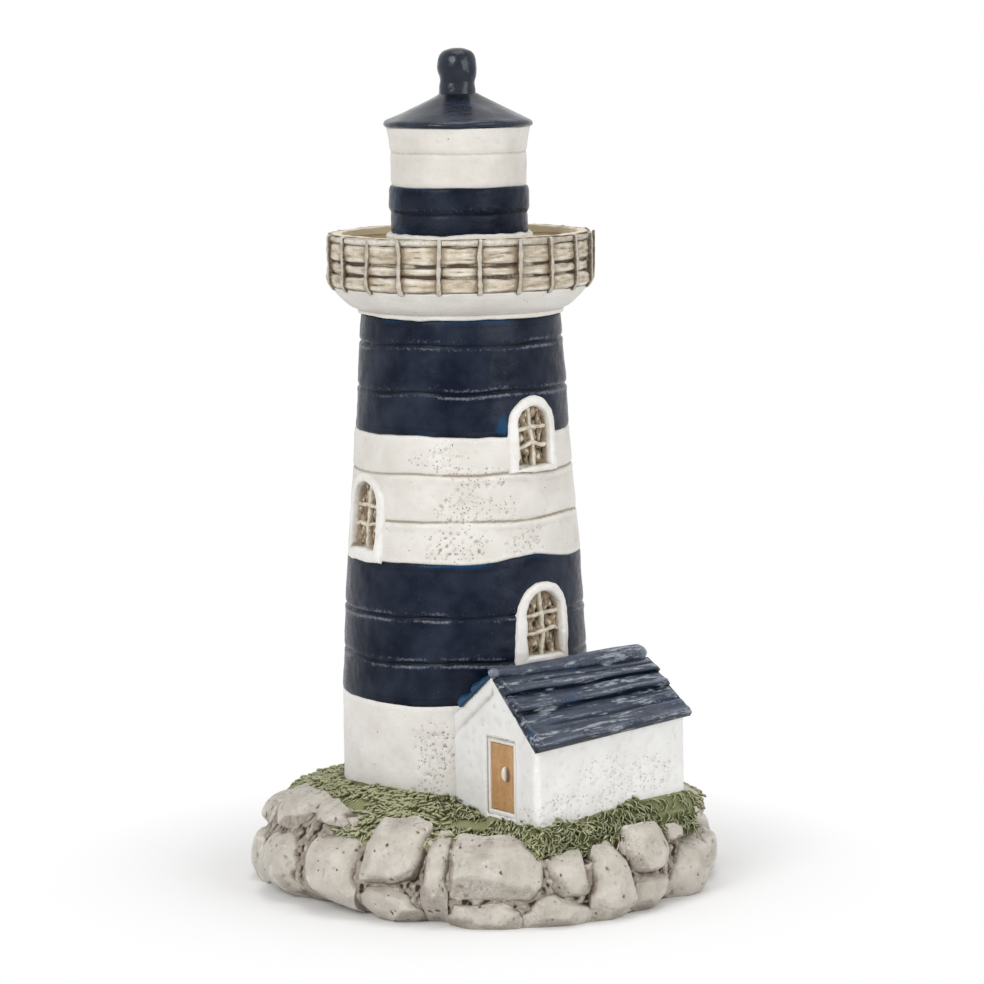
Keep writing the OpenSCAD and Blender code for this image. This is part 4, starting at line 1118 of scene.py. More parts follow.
def cottagePlace(points):
    # where a point of the cottage's own frame stands
    turn = math.radians(cottage["turn"])
    x = points[..., 0] - cottage["gable"]
    y = points[..., 1] - cottage["ridge"] - cottage["half"]
    return placed(x * math.cos(turn) - y * math.sin(turn), x * math.sin(turn) + y * math.cos(turn),
                  points[..., 2])


def cottageView(points):
    # the same place in the cottage's own frame
    turn = math.radians(-cottage["turn"])
    x = points[..., 0] * math.cos(turn) - points[..., 1] * math.sin(turn) + cottage["gable"]
    y = points[..., 0] * math.sin(turn) + points[..., 1] * math.cos(turn) + cottage["ridge"] + cottage["half"]
    return placed(x, y, points[..., 2])


def peakAt(x):
    return cottage["peak"] - cottage["fall"] * x / cottage["long"]


def steepness(pitch, x):
    # the outer slope lies flatter towards the far gable
    near, far = (math.tan(math.radians(p)) for p in cottage[pitch])
    return near + (far - near) * np.clip(x / cottage["long"], 0, 1)


def roofLine(x, y):
    # height of the top of the walls, under the boards
    out = np.maximum(cottage["half"] - y, 0) * steepness("outerPitch", x)
    back = np.maximum(y - cottage["half"], 0) * steepness("innerPitch", x)
    return peakAt(x) - out - back


def withLines(length, cell, extra, step=0.08):
    # grid lines a cell apart, with a close pair at each extra place
    lines = list(stepped(length, cell))
    for value in extra:
        lines = [v for v in lines if abs(v - value) > cell * 0.45] + [value - step, value + step]
    return np.array(sorted(lines))


def makeWalls():
    low, high, foot, top = cottage["door"]
    f = cottage["frame"]
    width = 2 * cottage["half"]
    alongCell, acrossCell = cottage["cells"]
    p, q, t = boxGrid([stepped(cottage["long"], alongCell), withLines(width, acrossCell, (low - f, high + f)),
                       np.linspace(0, 1, cottage["rows"])])
    # the rows run up from the foot to the roof's slope
    z = cottage["foot"] + p[:, 2] * (roofLine(p[:, 0], p[:, 1]) - cottage["foot"])
    inDoor = (p[:, 0] < 0.01) & (p[:, 1] > low - f) & (p[:, 1] < high + f) & (z > foot - f) & (z < top + f)
    plan = rounded(p[:, :2], (cottage["long"], width), cottage["corner"])
    points = cottagePlace(np.column_stack([plan, z]))
    normal = normalsOf(points, q, t)
    upright = np.abs(normal[:, 2]) < 0.5
    cover = np.zeros(len(points))
    for *middle, reach in cottage["stippled"]:
        away = np.linalg.norm((np.column_stack([p[:, :2], z]) - middle) / [reach * 1.4, reach, reach], axis=1)
        cover = np.maximum(cover, smooth(away + 0.35 * noiseAt(points, 4, 5), 1.2, 0.5))
    out = 0.26 * lumps(points, 5.5, 401, 3) + 0.06 * noiseAt(points, 1.5, 402)
    out = out - 0.30 * pitsAt(points, 1.3, 0.6, 0.8, 403) * cover + 0.10 * noiseAt(points, 1.1, 404) * cover
    # a ridge and a hollow run down under the left verge of the gable
    lean = math.radians(cottage["innerPitch"][0])
    slope = (p[:, 1] - cottage["half"]) * math.sin(lean) + (z - cottage["peak"]) * math.cos(lean)
    onGable = (p[:, 0] < 0.01) & (p[:, 1] > cottage["half"])
    out = out + onGable * (0.22 * hump(slope, -4.8, 1.1) - 0.42 * hump(slope, -3.2, 0.9))
    points = points + normal * (out * upright)[:, None]
    turn = math.radians(cottage["turn"])
    inwards = np.array([math.cos(turn), math.sin(turn), 0])
    points[inDoor] = points[inDoor] + inwards * (cottage["doorway"] + 0.1)
    makePiece("cottage_walls", (points, q, t), wallPaint, 0.16, 5, cover)


def block(size, at, cell, edge, rough, seed, lump=2.0):
    # a box in the cottage's frame with rounded edges and an uneven skin
    p, q, t = boxGrid([stepped(side, cell) for side in size])
    p = cottagePlace(rounded(p, size, edge) + np.asarray(at))
    return raised((p, q, t), lambda s: rough * lumps(s, lump, seed, 3))


# the painted shadow of the handle, beside it: middle and half size, across and up; and the handle itself
doorLook = {"dab": (11.2, 1.0, 32.4, 1.9), "handle": (0.75, 1.25, 1.75), "handleAt": (11.9, 32.6),
            "handleFlat": 0.25}


def makeDoor():
    low, high, foot, top = cottage["door"]
    f, deep = cottage["frame"], cottage["doorway"]
    upright, rail = (deep - 0.3, f, top - foot + 2 * f), (deep - 0.3, high - low + f, f)
    laid = ((upright, (0.3, low - f, foot - f)), (upright, (0.3, high, foot - f)),
            (rail, (0.3, low - f / 2, top)), (rail, (0.3, low - f / 2, foot - f)))
    shape = joined(*(block(size, at, 0.28, 0.3, 0.07, 420 + k) for k, (size, at) in enumerate(laid)))
    place = cottageView(shape[0])
    # painted shade, grey-brown, lies along the tower side and the head of the frame
    towerSide, head = smooth(place[:, 1], high + 0.15, high + 0.6), smooth(place[:, 2], top + 0.3, top + 0.8)
    tone = np.maximum(towerSide, 0.7 * head)
    makePiece("door_frame", shape, reveal, 0.12, 4, tone * 0.85)

    size = (1.1, high - low - 0.2, top - foot - 0.2)
    leaf = block(size, (deep - 1.1, low + 0.1, foot + 0.1), 0.24, 0.25, 0.10, 430, 1.6)
    place = cottageView(leaf[0])
    # the handle's painted shadow, darker ochre on the door beside it
    at, wide, level, tall = doorLook["dab"]
    away = np.hypot((place[:, 1] - at) / wide, (place[:, 2] - level) / tall)
    makePiece("door", leaf, ochrePaint, 0.12, 4, smooth(away, 1.1, 0.6) * 0.9)

    # a half-moon handle, flat on its hinge side
    p, q, t = boxGrid([np.linspace(-1, 1, 12), np.linspace(-1, 1, 18), np.linspace(-1, 1, 26)])
    p = p / np.maximum(np.linalg.norm(p, axis=1, keepdims=True), 1e-9)
    p = p * doorLook["handle"]
    p[:, 1] = np.where(p[:, 1] < 0, p[:, 1] * doorLook["handleFlat"], p[:, 1])
    p = cottagePlace(p + [deep - 1.2, *doorLook["handleAt"]])
    makePiece("door_knob", outward((p, q, t)), ivoryPaint, 0.2, 4)


# distances down each slope from the ridge to the boards' lower edges, taken at the slopes' plain pitches
roof = {"cells": (0.42, 0.34), "right": (1.7, 6.3, 11.2, 21.48), "left": (1.7, 8.29, 14.89), "lap": 0.6,
        "thin": 0.7, "thick": 2.4, "outerPitch": 41.0, "innerPitch": 38.0, "leftTone": 0.9}


def roofBoard(node, side, far, near, seed, pitch, toneEdge=0.0):
    # a board from near to far, as distances down the slope, tucked in under the one above
    near = near - roof["lap"]
    length = cottage["long"] + 2 * cottage["verge"]
    alongCell, downCell = roof["cells"]
    p, q, t = boxGrid([stepped(length, alongCell), stepped(far - near, downCell), np.linspace(0, 1, 6)])
    down = p[:, 1] / (far - near)
    thick = roof["thin"] + (roof["thick"] - roof["thin"]) * down
    grain = lumps(placed(p[:, 0], p[:, 1], seed), (15, 1.7, 9), seed, 4)
    wave = 0.45 * noiseAt(placed(p[:, 0], 0, seed), 9, seed + 2)
    upper = smooth(p[:, 2], 0.5, 1.0)
    ends = smooth(np.minimum(p[:, 0], length - p[:, 0]), 1.3, 0.0)
    lip = smooth(down * (far - near), (far - near) - 1.2, (far - near))
    roll = 0.25 * hump(p[:, 0], 1.0, 0.8)
    rise = upper * (0.42 * grain - 0.55 * ends ** 2 - 0.5 * lip ** 2 + roll * (1 - ends * 0.5))
    if seed % 2:
        # a groove splits the board along its middle
        rise = rise - upper * 0.55 * hump(down - 0.5 + 0.06 * wave, 0, 0.045) * smooth(p[:, 0], 4, 12)
    d = near + p[:, 1] + wave * (down if far < 21 else 0.35 * down)
    d = np.minimum(d, roof["right"][-1] - 0.05)
    n = p[:, 2] * thick + rise
    x = p[:, 0] - cottage["verge"]
    stagger = 0.5 * noiseAt(placed(0, down * 3, seed), 1.0, seed + 3)
    x = x + stagger * (ends * 0.8) - 0.3 * np.sign(p[:, 0] - length / 2) * smooth(p[:, 2], 0.8, 1) * ends
    x = np.clip(x, -cottage["verge"], cottage["long"] + cottage["verge"])
    angle = np.arctan(steepness(pitch, x))
    across = d * math.cos(math.radians(roof[pitch]))
    y = cottage["half"] + side * (across + n * np.sin(angle))
    z = peakAt(x) - across * np.tan(angle) + n * np.cos(angle)
    points = cottagePlace(placed(x, y, z))
    tone = toneEdge * smooth(x, 2.0, -1.0) + 0.2 * smooth(noiseAt(points, 5, seed), 0.3, 0.9)
    # dark in the angle under the board above, and on the board's own lower edge
    shade = 1.3 * smooth(p[:, 1], 1.7, 0.6) + 1.4 * smooth(p[:, 1], far - near - 0.6, far - near)
    shade = shade + 0.9 * smooth(np.minimum(p[:, 0], length - p[:, 0]), 1.5, 0.5)
    makePiece(node, outward((points, q, t)), roofPaint, 0.14, 5, tone, shade)


ridgeRoll = {"rows": 96, "sides": 40, "halfWide": 2.3, "halfHigh": 2.0, "nearSize": 0.60, "growth": 0.50}


def makeRidge():
    # the rolled ridge, which grows fatter towards the far gable
    length = cottage["long"] + 2 * cottage["verge"]
    along = np.linspace(0, length, ridgeRoll["rows"])
    turn = np.linspace(0, 2 * math.pi, ridgeRoll["sides"], endpoint=False)
    wide, high = ridgeRoll["halfWide"], ridgeRoll["halfHigh"]
    far = smooth(length - along, 0.0, 2.6) ** 0.5
    near = smooth(along, 0.0, 0.6) ** 0.5
    grown = ridgeRoll["nearSize"] + ridgeRoll["growth"] * along / length
    size = (0.35 + 0.65 * np.minimum(far, near)) * grown
    bow = 0.3 * noiseAt(placed(along, 0, 0), 10, 451)
    place = placed(along[:, None], wide * np.cos(turn), high * np.sin(turn))
    radius = size[:, None] * (1 + 0.10 * lumps(place, (12, 1.2, 1.2), 452, 3))
    y = cottage["half"] + radius * wide * np.cos(turn) + 0.4 * bow[:, None]
    z = peakAt(along)[:, None] + 0.55 + radius * high * np.sin(turn) + bow[:, None]
    points = cottagePlace(placed(along[:, None] - cottage["verge"], y, z))
    end = np.array([-cottage["verge"], cottage["long"] + cottage["verge"]])
    shape = outward(capped(points, len(turn), cottagePlace(placed(end, cottage["half"], peakAt(end) + 0.5))))
    makePiece("roof_ridge_roll", shape, roofPaint, 0.14, 5)


makeWalls()
makeDoor()
right, left = roof["right"], roof["left"]
roofBoard("roof_right_eave_board", -1, right[3], right[2], 461, "outerPitch")
roofBoard("roof_right_middle_board", -1, right[2], right[1], 462, "outerPitch")
roofBoard("roof_right_ridge_board", -1, right[1], right[0], 463, "outerPitch")
roofBoard("roof_left_ridge_board", 1, left[1], left[0], 464, "innerPitch", roof["leftTone"])
roofBoard("roof_left_lower_board", 1, left[2], left[1], 466, "innerPitch", roof["leftTone"])
makeRidge()
print("cottage built")


# Stones

ring = {
    "centre": (4.8, -4.4), "radius": 58.0, "core": 46.4, "belly": 7.0, "footDraw": 1.6, "topDraw": 9.5,
    "top": 24.5, "swell": 3.0, "swellTurn": 14.0, "leftDraw": 4.5, "leftTurn": -48.0, "backTop": 19.6,
    "edgeDrop": 2.6, "bevel": 2.4, "facet": 3.2, "cuts": 7, "sharp": 5.0, "bedding": 3.2, "grown": 1.05,
    "easeFrom": 2.6, "ease": 0.3, "columns": 190, "rows": 50, "backColumns": 90, "backRows": 24,
    "beddingColumns": 460, "sides": (0.08, 0.2, 0.4, 0.7, 1.0), "pitDepth": 0.65,
}
# where the stones' feet draw further in: turn, depth and half width in degrees
footDips = ((-90, 2.5, 12), (-66, 3.0, 9), (-44, 4.6, 8), (-28, 1.0, 6), (-13, 3.0, 4), (53, 3.2, 6),
            (92, 2.0, 14))
# and where the whole bank of stones does
bankDip = (90, 1.8, 18)
# each stone's turns from the front towards +X, foot and top as shares of the ring's height, how far it
# stands out, and its outline, as shares of that cell from -1 to 1, anticlockwise
stones = {
    "stone_left_upper": (-85, -57.5, 0.62, 1, 0.0, "-1,-1 .6,-1 .9,-.4 1,.7 .6,1 -.5,1 -1,.4"),
    "stone_left_cap": (-57.5, -40, 0.776, 1, 0.0, "-.8,-1 1,-1 1,-.5 .4,.4 -.3,1 -1,.7 -1,-.3"),
    "stone_left_lower": (-78, -54, 0, 0.62, 0.2, "-.9,-1 .9,-1 1,.2 .7,.9 .1,1 -.8,.9 -1,.1"),
    "stone_front_left_block": (-54, -34.2, 0, 0.776, 0.3, "-1,-1 .9,-1 1,-.1 1,1 .2,1 -.8,.8 -1,-.1"),
    "stone_front_left_upper": (-34.2, -16, 0.359, 0.939, 0.6,
                               "-1,-1 .2,-1 .8,-.7 1,-.1 1,.8 .5,1 -.6,.9 -1,.2"),
    "stone_front_left_toe": (-34.2, -16, 0, 0.359, 0.0, "-1,-1 1,-1 1,-.4 .7,.6 .1,1.1 -.5,1 -1,.3"),
    "stone_front_wedge": (-16, -9.4, 0, 0.833, 0.2, "-.8,-1 .9,-1 1,.9 .2,1 -.8,.8 -1,.1"),
    "stone_front_slab": (-9.4, 14.2, 0.253, 0.808, 0.4, "-1,-1 .6,-1 .9,-.5 1,.3 .8,.7 .3,1 -.8,1 -1,.7"),
    "stone_front_toe": (-9.4, 7.6, 0, 0.253, 0.2, "-1,-1 1,-1 1,.3 .5,1 -.3,.7 -1,.9"),
    "stone_front_right_toe": (7.6, 24.4, 0, 0.253, 0.0, "-1,-1 1,-1 1,.2 .5,.9 -.1,1.7 -.5,1.4 -.9,.5"),
    "stone_front_right_cobble": (14.2, 24.4, 0.253, 0.653, 0.0, "-.5,-1 .6,-1 1,-.8 1,1 -.6,1 -1,.8 -1,-.4"),
    "stone_front_right_block": (24.4, 36.6, 0, 0.678, 0.2, "-1,-1 .8,-1 1,-.2 1,.6 .5,1 -.4,1 -.8,.5 -1,-.2"),
    "stone_right_boulder": (36.6, 52.2, 0.367, 0.873, 0.6,
                            "-.9,-.9 0,-1.1 .9,-.9 1,-.1 .9,.8 .2,1 -.8,.9 -1,0"),
    "stone_right_toe": (36.6, 52.2, 0, 0.367, -0.6, "-1,-1 .7,-1 1,-.1 .7,.8 -.3,1 -1,.7"),
    "stone_right_lower": (52.2, 75, 0, 0.531, 0.2, "-1,-1 1,-1 1,.6 .4,1 -.5,1 -1,.3"),
    "stone_right_pebble": (52.2, 61.6, 0.531, 0.8, 0.0, "-.9,-.9 .7,-1 1,.2 .3,1 -.6,.9 -1,0"),
    "stone_right_upper": (61.6, 85, 0.531, 0.922, 0.0, "-1,-1 1,-1 1,.6 .2,1 -.7,.9 -1,.1"),
}
backOutline = "-.9,-1 .8,-1 1,-.2 .8,.9 -.2,1 -.9,.8 -1,-.1"


def ringRadius(turnDegrees, z):
    # how far out the bank of stones stands: widest at its belly, drawn in to its foot and its top
    swell, left = (ring[key] * np.cos(np.radians(np.minimum(90, np.abs(turnDegrees - at) * narrow))) ** 2
                   for key, at, narrow in (("swell", ring["swellTurn"], 2.4),
                                           ("leftDraw", ring["leftTurn"], 1.8)))
    below = (ring["footDraw"] + left) * (np.maximum(ring["belly"] - z, 0) / ring["belly"]) ** 2
    above = ring["topDraw"] * (np.maximum(z - ring["belly"], 0) / (ring["top"] - ring["belly"])) ** 1.5
    dips = sum(deep * hump(turnDegrees, at, wide) for at, deep, wide in footDips)
    below = below + dips * np.clip(1 - z / 9, 0, 1) ** 1.5
    at, deep, wide = bankDip
    return ring["radius"] + swell - below - above - deep * hump(turnDegrees, at, wide)


def makeTops():
    # height of the topmost stone at each whole degree, evened a little
    at = np.arange(361) - 180
    tops = np.zeros(361)
    for turn0, turn1, low, high, *rest in stones.values():
        tops = np.where((at >= turn0 - 1) & (at <= turn1 + 1), np.maximum(tops, high * ring["top"]), tops)
    tops = np.where(tops == 0, ring["backTop"], tops)
    return (np.roll(tops, 2) + tops + np.roll(tops, -2)) / 3


def stoneTop(degrees):
    return np.interp(degrees, np.arange(361) - 180, stoneTops)


stoneTops = makeTops()


def edgeTone(shape):
    # brown wash and painted shade thicken where a stone runs back into the crevices
    points = shape[0] - [*ring["centre"], 0]
    turn = np.degrees(turnOf(points))
    reach = np.hypot(points[:, 0], points[:, 1])
    sunk = ringRadius(turn, points[:, 2]) - reach
    below = smooth(stoneTop(turn) - points[:, 2], 0.8, 3.0)
    return smooth(sunk + 0.9 * noiseAt(shape[0], 2.4, 8), 2.0, 4.2) * 0.95 * below


def clearOfCottage(points):
    # slopes what would stand in the cottage's ground down below it
    place = cottageView(points)
    outside = np.maximum(np.maximum(-1.4 - place[:, 0], -2.2 - place[:, 1]), place[:, 0] - 47)
    lowered = points.copy()
    lowered[:, 2] = np.minimum(points[:, 2], 13.8 + 3.0 * np.maximum(outside, 0))
    return lowered


def insideBox(points):
    # eases the outermost stones in, so that none passes the construction's box
    boxLow, boxHigh = (np.array(corner) / mm for corner in cadBox)
    eased = points.copy()
    for axis in (0, 1):
        over = np.maximum(points[:, axis] - boxHigh[axis] + ring["easeFrom"], 0)
        under = np.maximum(boxLow[axis] + ring["easeFrom"] - points[:, axis], 0)
        eased[:, axis] += ring["ease"] * (under - over)
    return eased


def outlineReach(outline, way):
    # distance from the middle to a polygon's edge in each direction, with its corners softened
    corners = np.array([[float(v) for v in pair.split(",")] for pair in outline.split()])
    middle = corners.mean(0)
    corners = corners - middle
    reach = np.full(len(way), 9.0)
    for a, b in zip(corners, np.roll(corners, -1, 0)):
        side = b - a
        cross = np.cos(way) * side[1] - np.sin(way) * side[0]
        far = (a[0] * side[1] - a[1] * side[0]) / np.where(np.abs(cross) < 1e-9, 1e-9, cross)
        along = ((far * np.cos(way) - a[0]) * side[0] + (far * np.sin(way) - a[1]) * side[1]) / (side @ side)
        hit = (far > 0) & (along > -0.001) & (along < 1.001)
        reach = np.where(hit, np.minimum(reach, far), reach)
    soft = max(1, len(way) // 80)
    return sum(np.roll(reach, k) for k in range(-soft, soft + 1)) / (2 * soft + 1), middle


def stoneShape(turn0, turn1, low, high, stand, outline, seed, cols, rows, back):
    # one dressed stone of the ring, whose sides run in to the radius back
    own = np.random.default_rng(seed)
    z0, z1 = low * ring["top"], high * ring["top"]
    halfTurn = (turn1 - turn0) / 2
    halfWide = math.radians(halfTurn) * (ring["radius"] + 1)
    halfHigh = (z1 - z0) / 2
    way = np.linspace(0, 2 * math.pi, cols, endpoint=False)
    reach, middle = outlineReach(outline, way)
    share = 1 - (1 - np.linspace(0.03, 1, rows)[:, None]) ** 1.5
    ragged = 1 + 0.05 * noiseAt(placed(np.cos(way) * 2, np.sin(way) * 2, seed), 0.7, seed)
    u = (middle[0] + share * reach * ragged * np.cos(way)) * ring["grown"]
    v = (middle[1] + share * reach * ragged * np.sin(way)) * ring["grown"]
    v = np.where(z0 == 0, np.maximum(v, -1), v)
    # millimetres in from the outline, and the rounding of the stone's edge there
    span = np.hypot(reach * np.cos(way) * halfWide, reach * np.sin(way) * halfHigh)
    fromEdge = (1 - share) * span
    edge = np.clip(1 - fromEdge / (ring["bevel"] * own.uniform(0.8, 1.2)), 0, 1)
    if z0 == 0:
        # the foot of a lower stone runs straight down to the ground
        edge = edge * (1 - smooth(-np.sin(way), 0.0, 0.6))
    drop = ring["edgeDrop"] * edge ** 1.3
    # one broad face with flat cuts all round it like a dressed stone's; cuts facing down are painted browner
    # and those facing up paler, as painted shade and light
    x, y = (u - middle[0]) * halfWide, (v - middle[1]) * halfHigh
    planes = [0.4 + own.uniform(-0.10, 0.10) * x + own.uniform(-0.12, 0.06) * y]
    tones = [own.uniform(-0.1, 0.15)]
    for k in range(ring["cuts"]):
        tilt = 2 * math.pi * (k + own.uniform(-0.35, 0.35)) / ring["cuts"]
        far = 1 / math.hypot(math.cos(tilt) / halfWide, math.sin(tilt) / halfHigh)
        start = own.uniform(0.40, 0.85) + (0.3 if z0 == 0 and math.sin(tilt) < -0.5 else 0)
        planes.append(own.uniform(0.35, 0.95) * (start * far - math.cos(tilt) * x - math.sin(tilt) * y))
        tones.append(0.22 - 0.22 * math.sin(tilt) + own.uniform(-0.22, 0.22))
    weights = np.exp(-ring["sharp"] * np.clip(np.stack(planes), -8, 8))
    face = -np.log(weights.sum(0)) / ring["sharp"]
    tone = (weights * np.array(tones)[:, None, None]).sum(0) / weights.sum(0)
    face = np.where(face < 0, -ring["facet"] * np.tanh(-face / ring["facet"]), face)
    # and browner in the crevices, as brown wash and painted shade, but not along its top, where the light
    # falls
    tone = np.maximum(tone, 0.95 * smooth(edge, 0.05, 0.9) * (1 - 0.7 * smooth(np.sin(way), 0.1, 0.8)))
    z = (z0 + z1) / 2 + v * halfHigh
    turn = (turn0 + turn1) / 2 + u * halfTurn
    out = ringRadius(turn, z) + stand + np.minimum(face, 0.9) - 0.5 - drop
    place = ringPoint(out, np.radians(turn), z, ring["centre"])
    flat = 1 - smooth(edge, 0.3, 0.8)
    out = out + 0.30 * lumps(place, (5, 5, 4), seed + 2, 3)
    out = out + 0.14 * lumps(place, (2.2, 2.2, 1.8), seed + 3, 2)
    out = out + 0.30 * noiseAt(place, 1.0, seed + 5) * smooth(edge, 0.1, 0.7)
    pits = pitsAt(place * [1, 1, 0.6] + place[..., [2]] * [0.3, 0, 0], 3.4, 0.9, 0.45, seed + 4)
    out = out - ring["pitDepth"] * pits * flat
    out = out + 0.09 * noiseAt(place, 1.1, seed + 6)
    # the sides run back to the plinth; the top runs back a little lower, or a little higher where it shows
    layers = [ringPoint(out, np.radians(turn), z, ring["centre"])]
    shown = back < ring["core"]
    lift = -0.8 if shown else -2.4
    for depth in ring["sides"]:
        side = out[-1] + (back - out[-1]) * depth
        rise = lift * depth ** 0.6 * np.maximum(np.sin(way), 0)
        place = ringPoint(side, np.radians(turn[-1]), z[-1] + rise, ring["centre"])
        rough = (0.9 if shown else 0.35) * lumps(place, 3.5, seed + 8, 2) * depth ** 0.5
        layers.append((place + [0, 0, 1] * rough[:, None])[None])
    points = np.concatenate(layers).reshape(-1, 3)
    points, quads, caps = capped(points, cols, [points[:cols].mean(0), points[-cols:].mean(0)])
    points[:, 2] = np.maximum(points[:, 2], 0)
    shape = outward((insideBox(clearOfCottage(points)), quads, caps))
    sideTone = np.full(len(ring["sides"]) * cols, 0.35 if shown else 0.6)
    ownTone = np.concatenate([tone.ravel(), sideTone, [tone[0].mean(), 0.6]])
    return shape, np.maximum(ownTone, edgeTone(shape))


# the two highest stones at the left show their tops back to the turf
backs = {"stone_left_upper": 43.6, "stone_left_cap": 44.6}
for number, (node, cell) in enumerate(stones.items()):
    shape, tone = stoneShape(*cell, 500 + 17 * number, ring["columns"], ring["rows"],
                             backs.get(node, ring["core"] + 0.15))
    makePiece(node, shape, stonePaint, 0.14, 6, tone)

# the unseen back of the ring, laid in the same two courses
backCourses = {
    "stones_back_lower": {"count": 9, "from": 75, "to": 282, "low": 0, "high": 0.465, "sway": 0.033},
    "stones_back_upper": {"count": 8, "from": 85, "to": 275, "low": 0.506, "high": 0.824, "sway": 0.049},
}
for node, course in backCourses.items():
    pitch = (course["to"] - course["from"]) / course["count"]
    shapes = []
    for i in range(course["count"]):
        top = course["high"] + course["sway"] * math.sin(math.radians(i * 137))
        start = course["from"] + i * pitch
        seed = 900 + 13 * i + int(1000 * course["high"])
        shapes.append(stoneShape(start, start + pitch, course["low"], top, 0.2, backOutline, seed,
                                 ring["backColumns"], ring["backRows"], ring["core"] + 0.15))
    shape = joined(*(stone for stone, tone in shapes))
    makePiece(node, shape, stonePaint, 0.14, 6, np.concatenate([tone for stone, tone in shapes]))


def makeBedding():
    # the brown bedding that shows in the crevices between the stones
    heights = np.linspace(0, 1, 70)
    profile = np.vstack([[[40, 0]], np.stack([np.full(len(heights), 1.0), heights], -1), [[40, 1]]])

    def shape(turn, radius, share):
        degrees = np.degrees(turn)
        height = 0.4 + share * (stoneTop(degrees) - 3.4)
        place = ringPoint(radius * 0 + 52, turn, height)
        out = ringRadius(degrees, height) - ring["bedding"]
        out = out + 0.8 * lumps(place, 2.3, 701, 3) + 0.3 * noiseAt(place, 0.9, 702)
        return np.where(radius < 2, out, radius), height

    points, quads, tris = turned(profile, ring["beddingColumns"], shape, ring["centre"])
    points = insideBox(clearOfCottage(points))
    makePiece("stone_bedding", (points, quads, tris), mortarPaint, 0.25, 4, extra=True)


makeBedding()
print("stones laid")


# Turf

turf = {
    "edge": 18.4, "wall": 21.2, "climb": 6.0, "outer": 47.0, "drape": 4.2, "inner": 24.0, "columns": 420,
    "strip": 2.85, "nearHigh": 7.6, "farHigh": 10.0, "tussock": (1.3, 28, 2.2),
}
grass = {"density": 1.4, "long": 2.8, "wide": 0.50, "bow": 0.55, "rise": 0.55, "rows": 5, "smallest": 0.6,
         "largest": 1.1, "spread": 0.9, "seed": 11, "crestTone": 0.8}
# middles of the smooth patches without grass: x, y, half width, half depth
barePatches = ((-27, -29, 6.0, 4.4), (1.0, -44.0, 7.0, 3.0), (-22, 30, 6, 5))


def turfHeight(turn, share):
    # the heap climbs to the tower's wall, most of all at the left
    climb = turf["climb"] * np.maximum(0, np.cos(turn + math.radians(75))) * (0.25 + 0.75 * share)
    return turf["edge"] + (turf["wall"] - turf["edge"]) * np.sin(share * math.pi / 2) + climb


def bareShare(points):
    bare = np.zeros(len(points))
    for x, y, halfX, halfY in barePatches:
        away = np.hypot((points[:, 0] - x) / halfX, (points[:, 1] - y) / halfY)
        bare = np.maximum(bare, smooth(away + 0.3 * noiseAt(points, 3, 4), 1.1, 0.7))
    place = cottageView(points)
    along = 0.75 * smooth(place[:, 0], 32, 36) * (place[:, 1] < 2) * smooth(place[:, 2], 18.5, 20.5)
    return np.maximum(bare, along)


def makeHeap():
    # the heap runs from the stones up to the tower's wall; heights from 99 to 101 stand for places along it
    profile = [(0.9, 13.9)] + [(1 - k / 8, 99 + k / 8) for k in range(8)]
    profile += [(-s, 100 + s) for s in np.linspace(0, 1, 56)]

    def shape(turn, radius, height):
        s = np.clip(height - 100, 0, 1)
        hang = np.clip(100 - height, 0, 1)
        # it hangs over the stones but for the tall ones at the left, where it stops short of them
        left = smooth(np.abs((np.degrees(turn) + 72 + 180) % 360 - 180), 38, 14)
        outer = turf["outer"] - 2.8 * left
        radius = outer + np.where(radius > 0, radius * turf["drape"] * (1 - left),
                                  radius * (outer - turf["inner"]))
        rough = height > 90
        z = np.where(rough, turfHeight(turn, s), height)
        rim = np.minimum(z, stoneTop(np.degrees(turn)) + 0.3) - 1.6 * hang
        z = np.where(rough, z + (rim - z) * smooth(hang, 0, 0.35), z)
        place = ringPoint(radius, turn, z, ring["centre"])
        radius = radius + rough * hang * 1.3 * noiseAt(place, 5, 809)
        return radius, z + rough * (0.55 * lumps(place, 4.5, 801, 3))

    return turned(profile, turf["columns"], shape, ring["centre"])


def makeStrip(onFront):
    # a strip of turf along the cottage's outer wall, or along its door gable
    wide = turf["strip"]
    length = (cottage["long"] if onFront else cottage["half"] + 2) + wide
    p, q, t = boxGrid([stepped(length, 0.5), stepped(wide + 1.2, 0.45), np.linspace(0, 1, 16)])
    if onFront:
        x, y = p[:, 0] - wide, p[:, 1] - wide
        rise, at, reach = turf["tussock"]
        high = turf["nearHigh"] + (turf["farHigh"] - turf["nearHigh"]) * smooth(x, 0, cottage["long"])
        high = high + rise * hump(x, at, reach)
    else:
        x, y = (p[:, 1] - wide) * 0.75, p[:, 0] - wide
        high = turf["nearHigh"] * (0.92 + 0.1 * y / cottage["half"])
    out = -y if onFront else -x
    top = high * (1 - 0.36 * smooth(out, 0, wide) ** 1.3)
    flat = placed(x, y, 14 + p[:, 2] * top)
    world = cottagePlace(flat)
    flat[:, 2] += p[:, 2] * (0.5 * lumps(world, 3.2, 803, 3) + 0.2)
    bulge = smooth(out, wide * 0.4, wide) * (0.5 * lumps(world, 3.0, 805, 3)) * smooth(p[:, 2], 0.1, 0.4)
    flat[:, 1 if onFront else 0] -= bulge
    return cottagePlace(flat), q, t


def makeTurf():
    shape = joined(makeHeap(), makeStrip(True), makeStrip(False))
    makePiece("turf", shape, turfPaint, 0.3, 5, bareShare(shape[0]) * 0.9)
    return shape


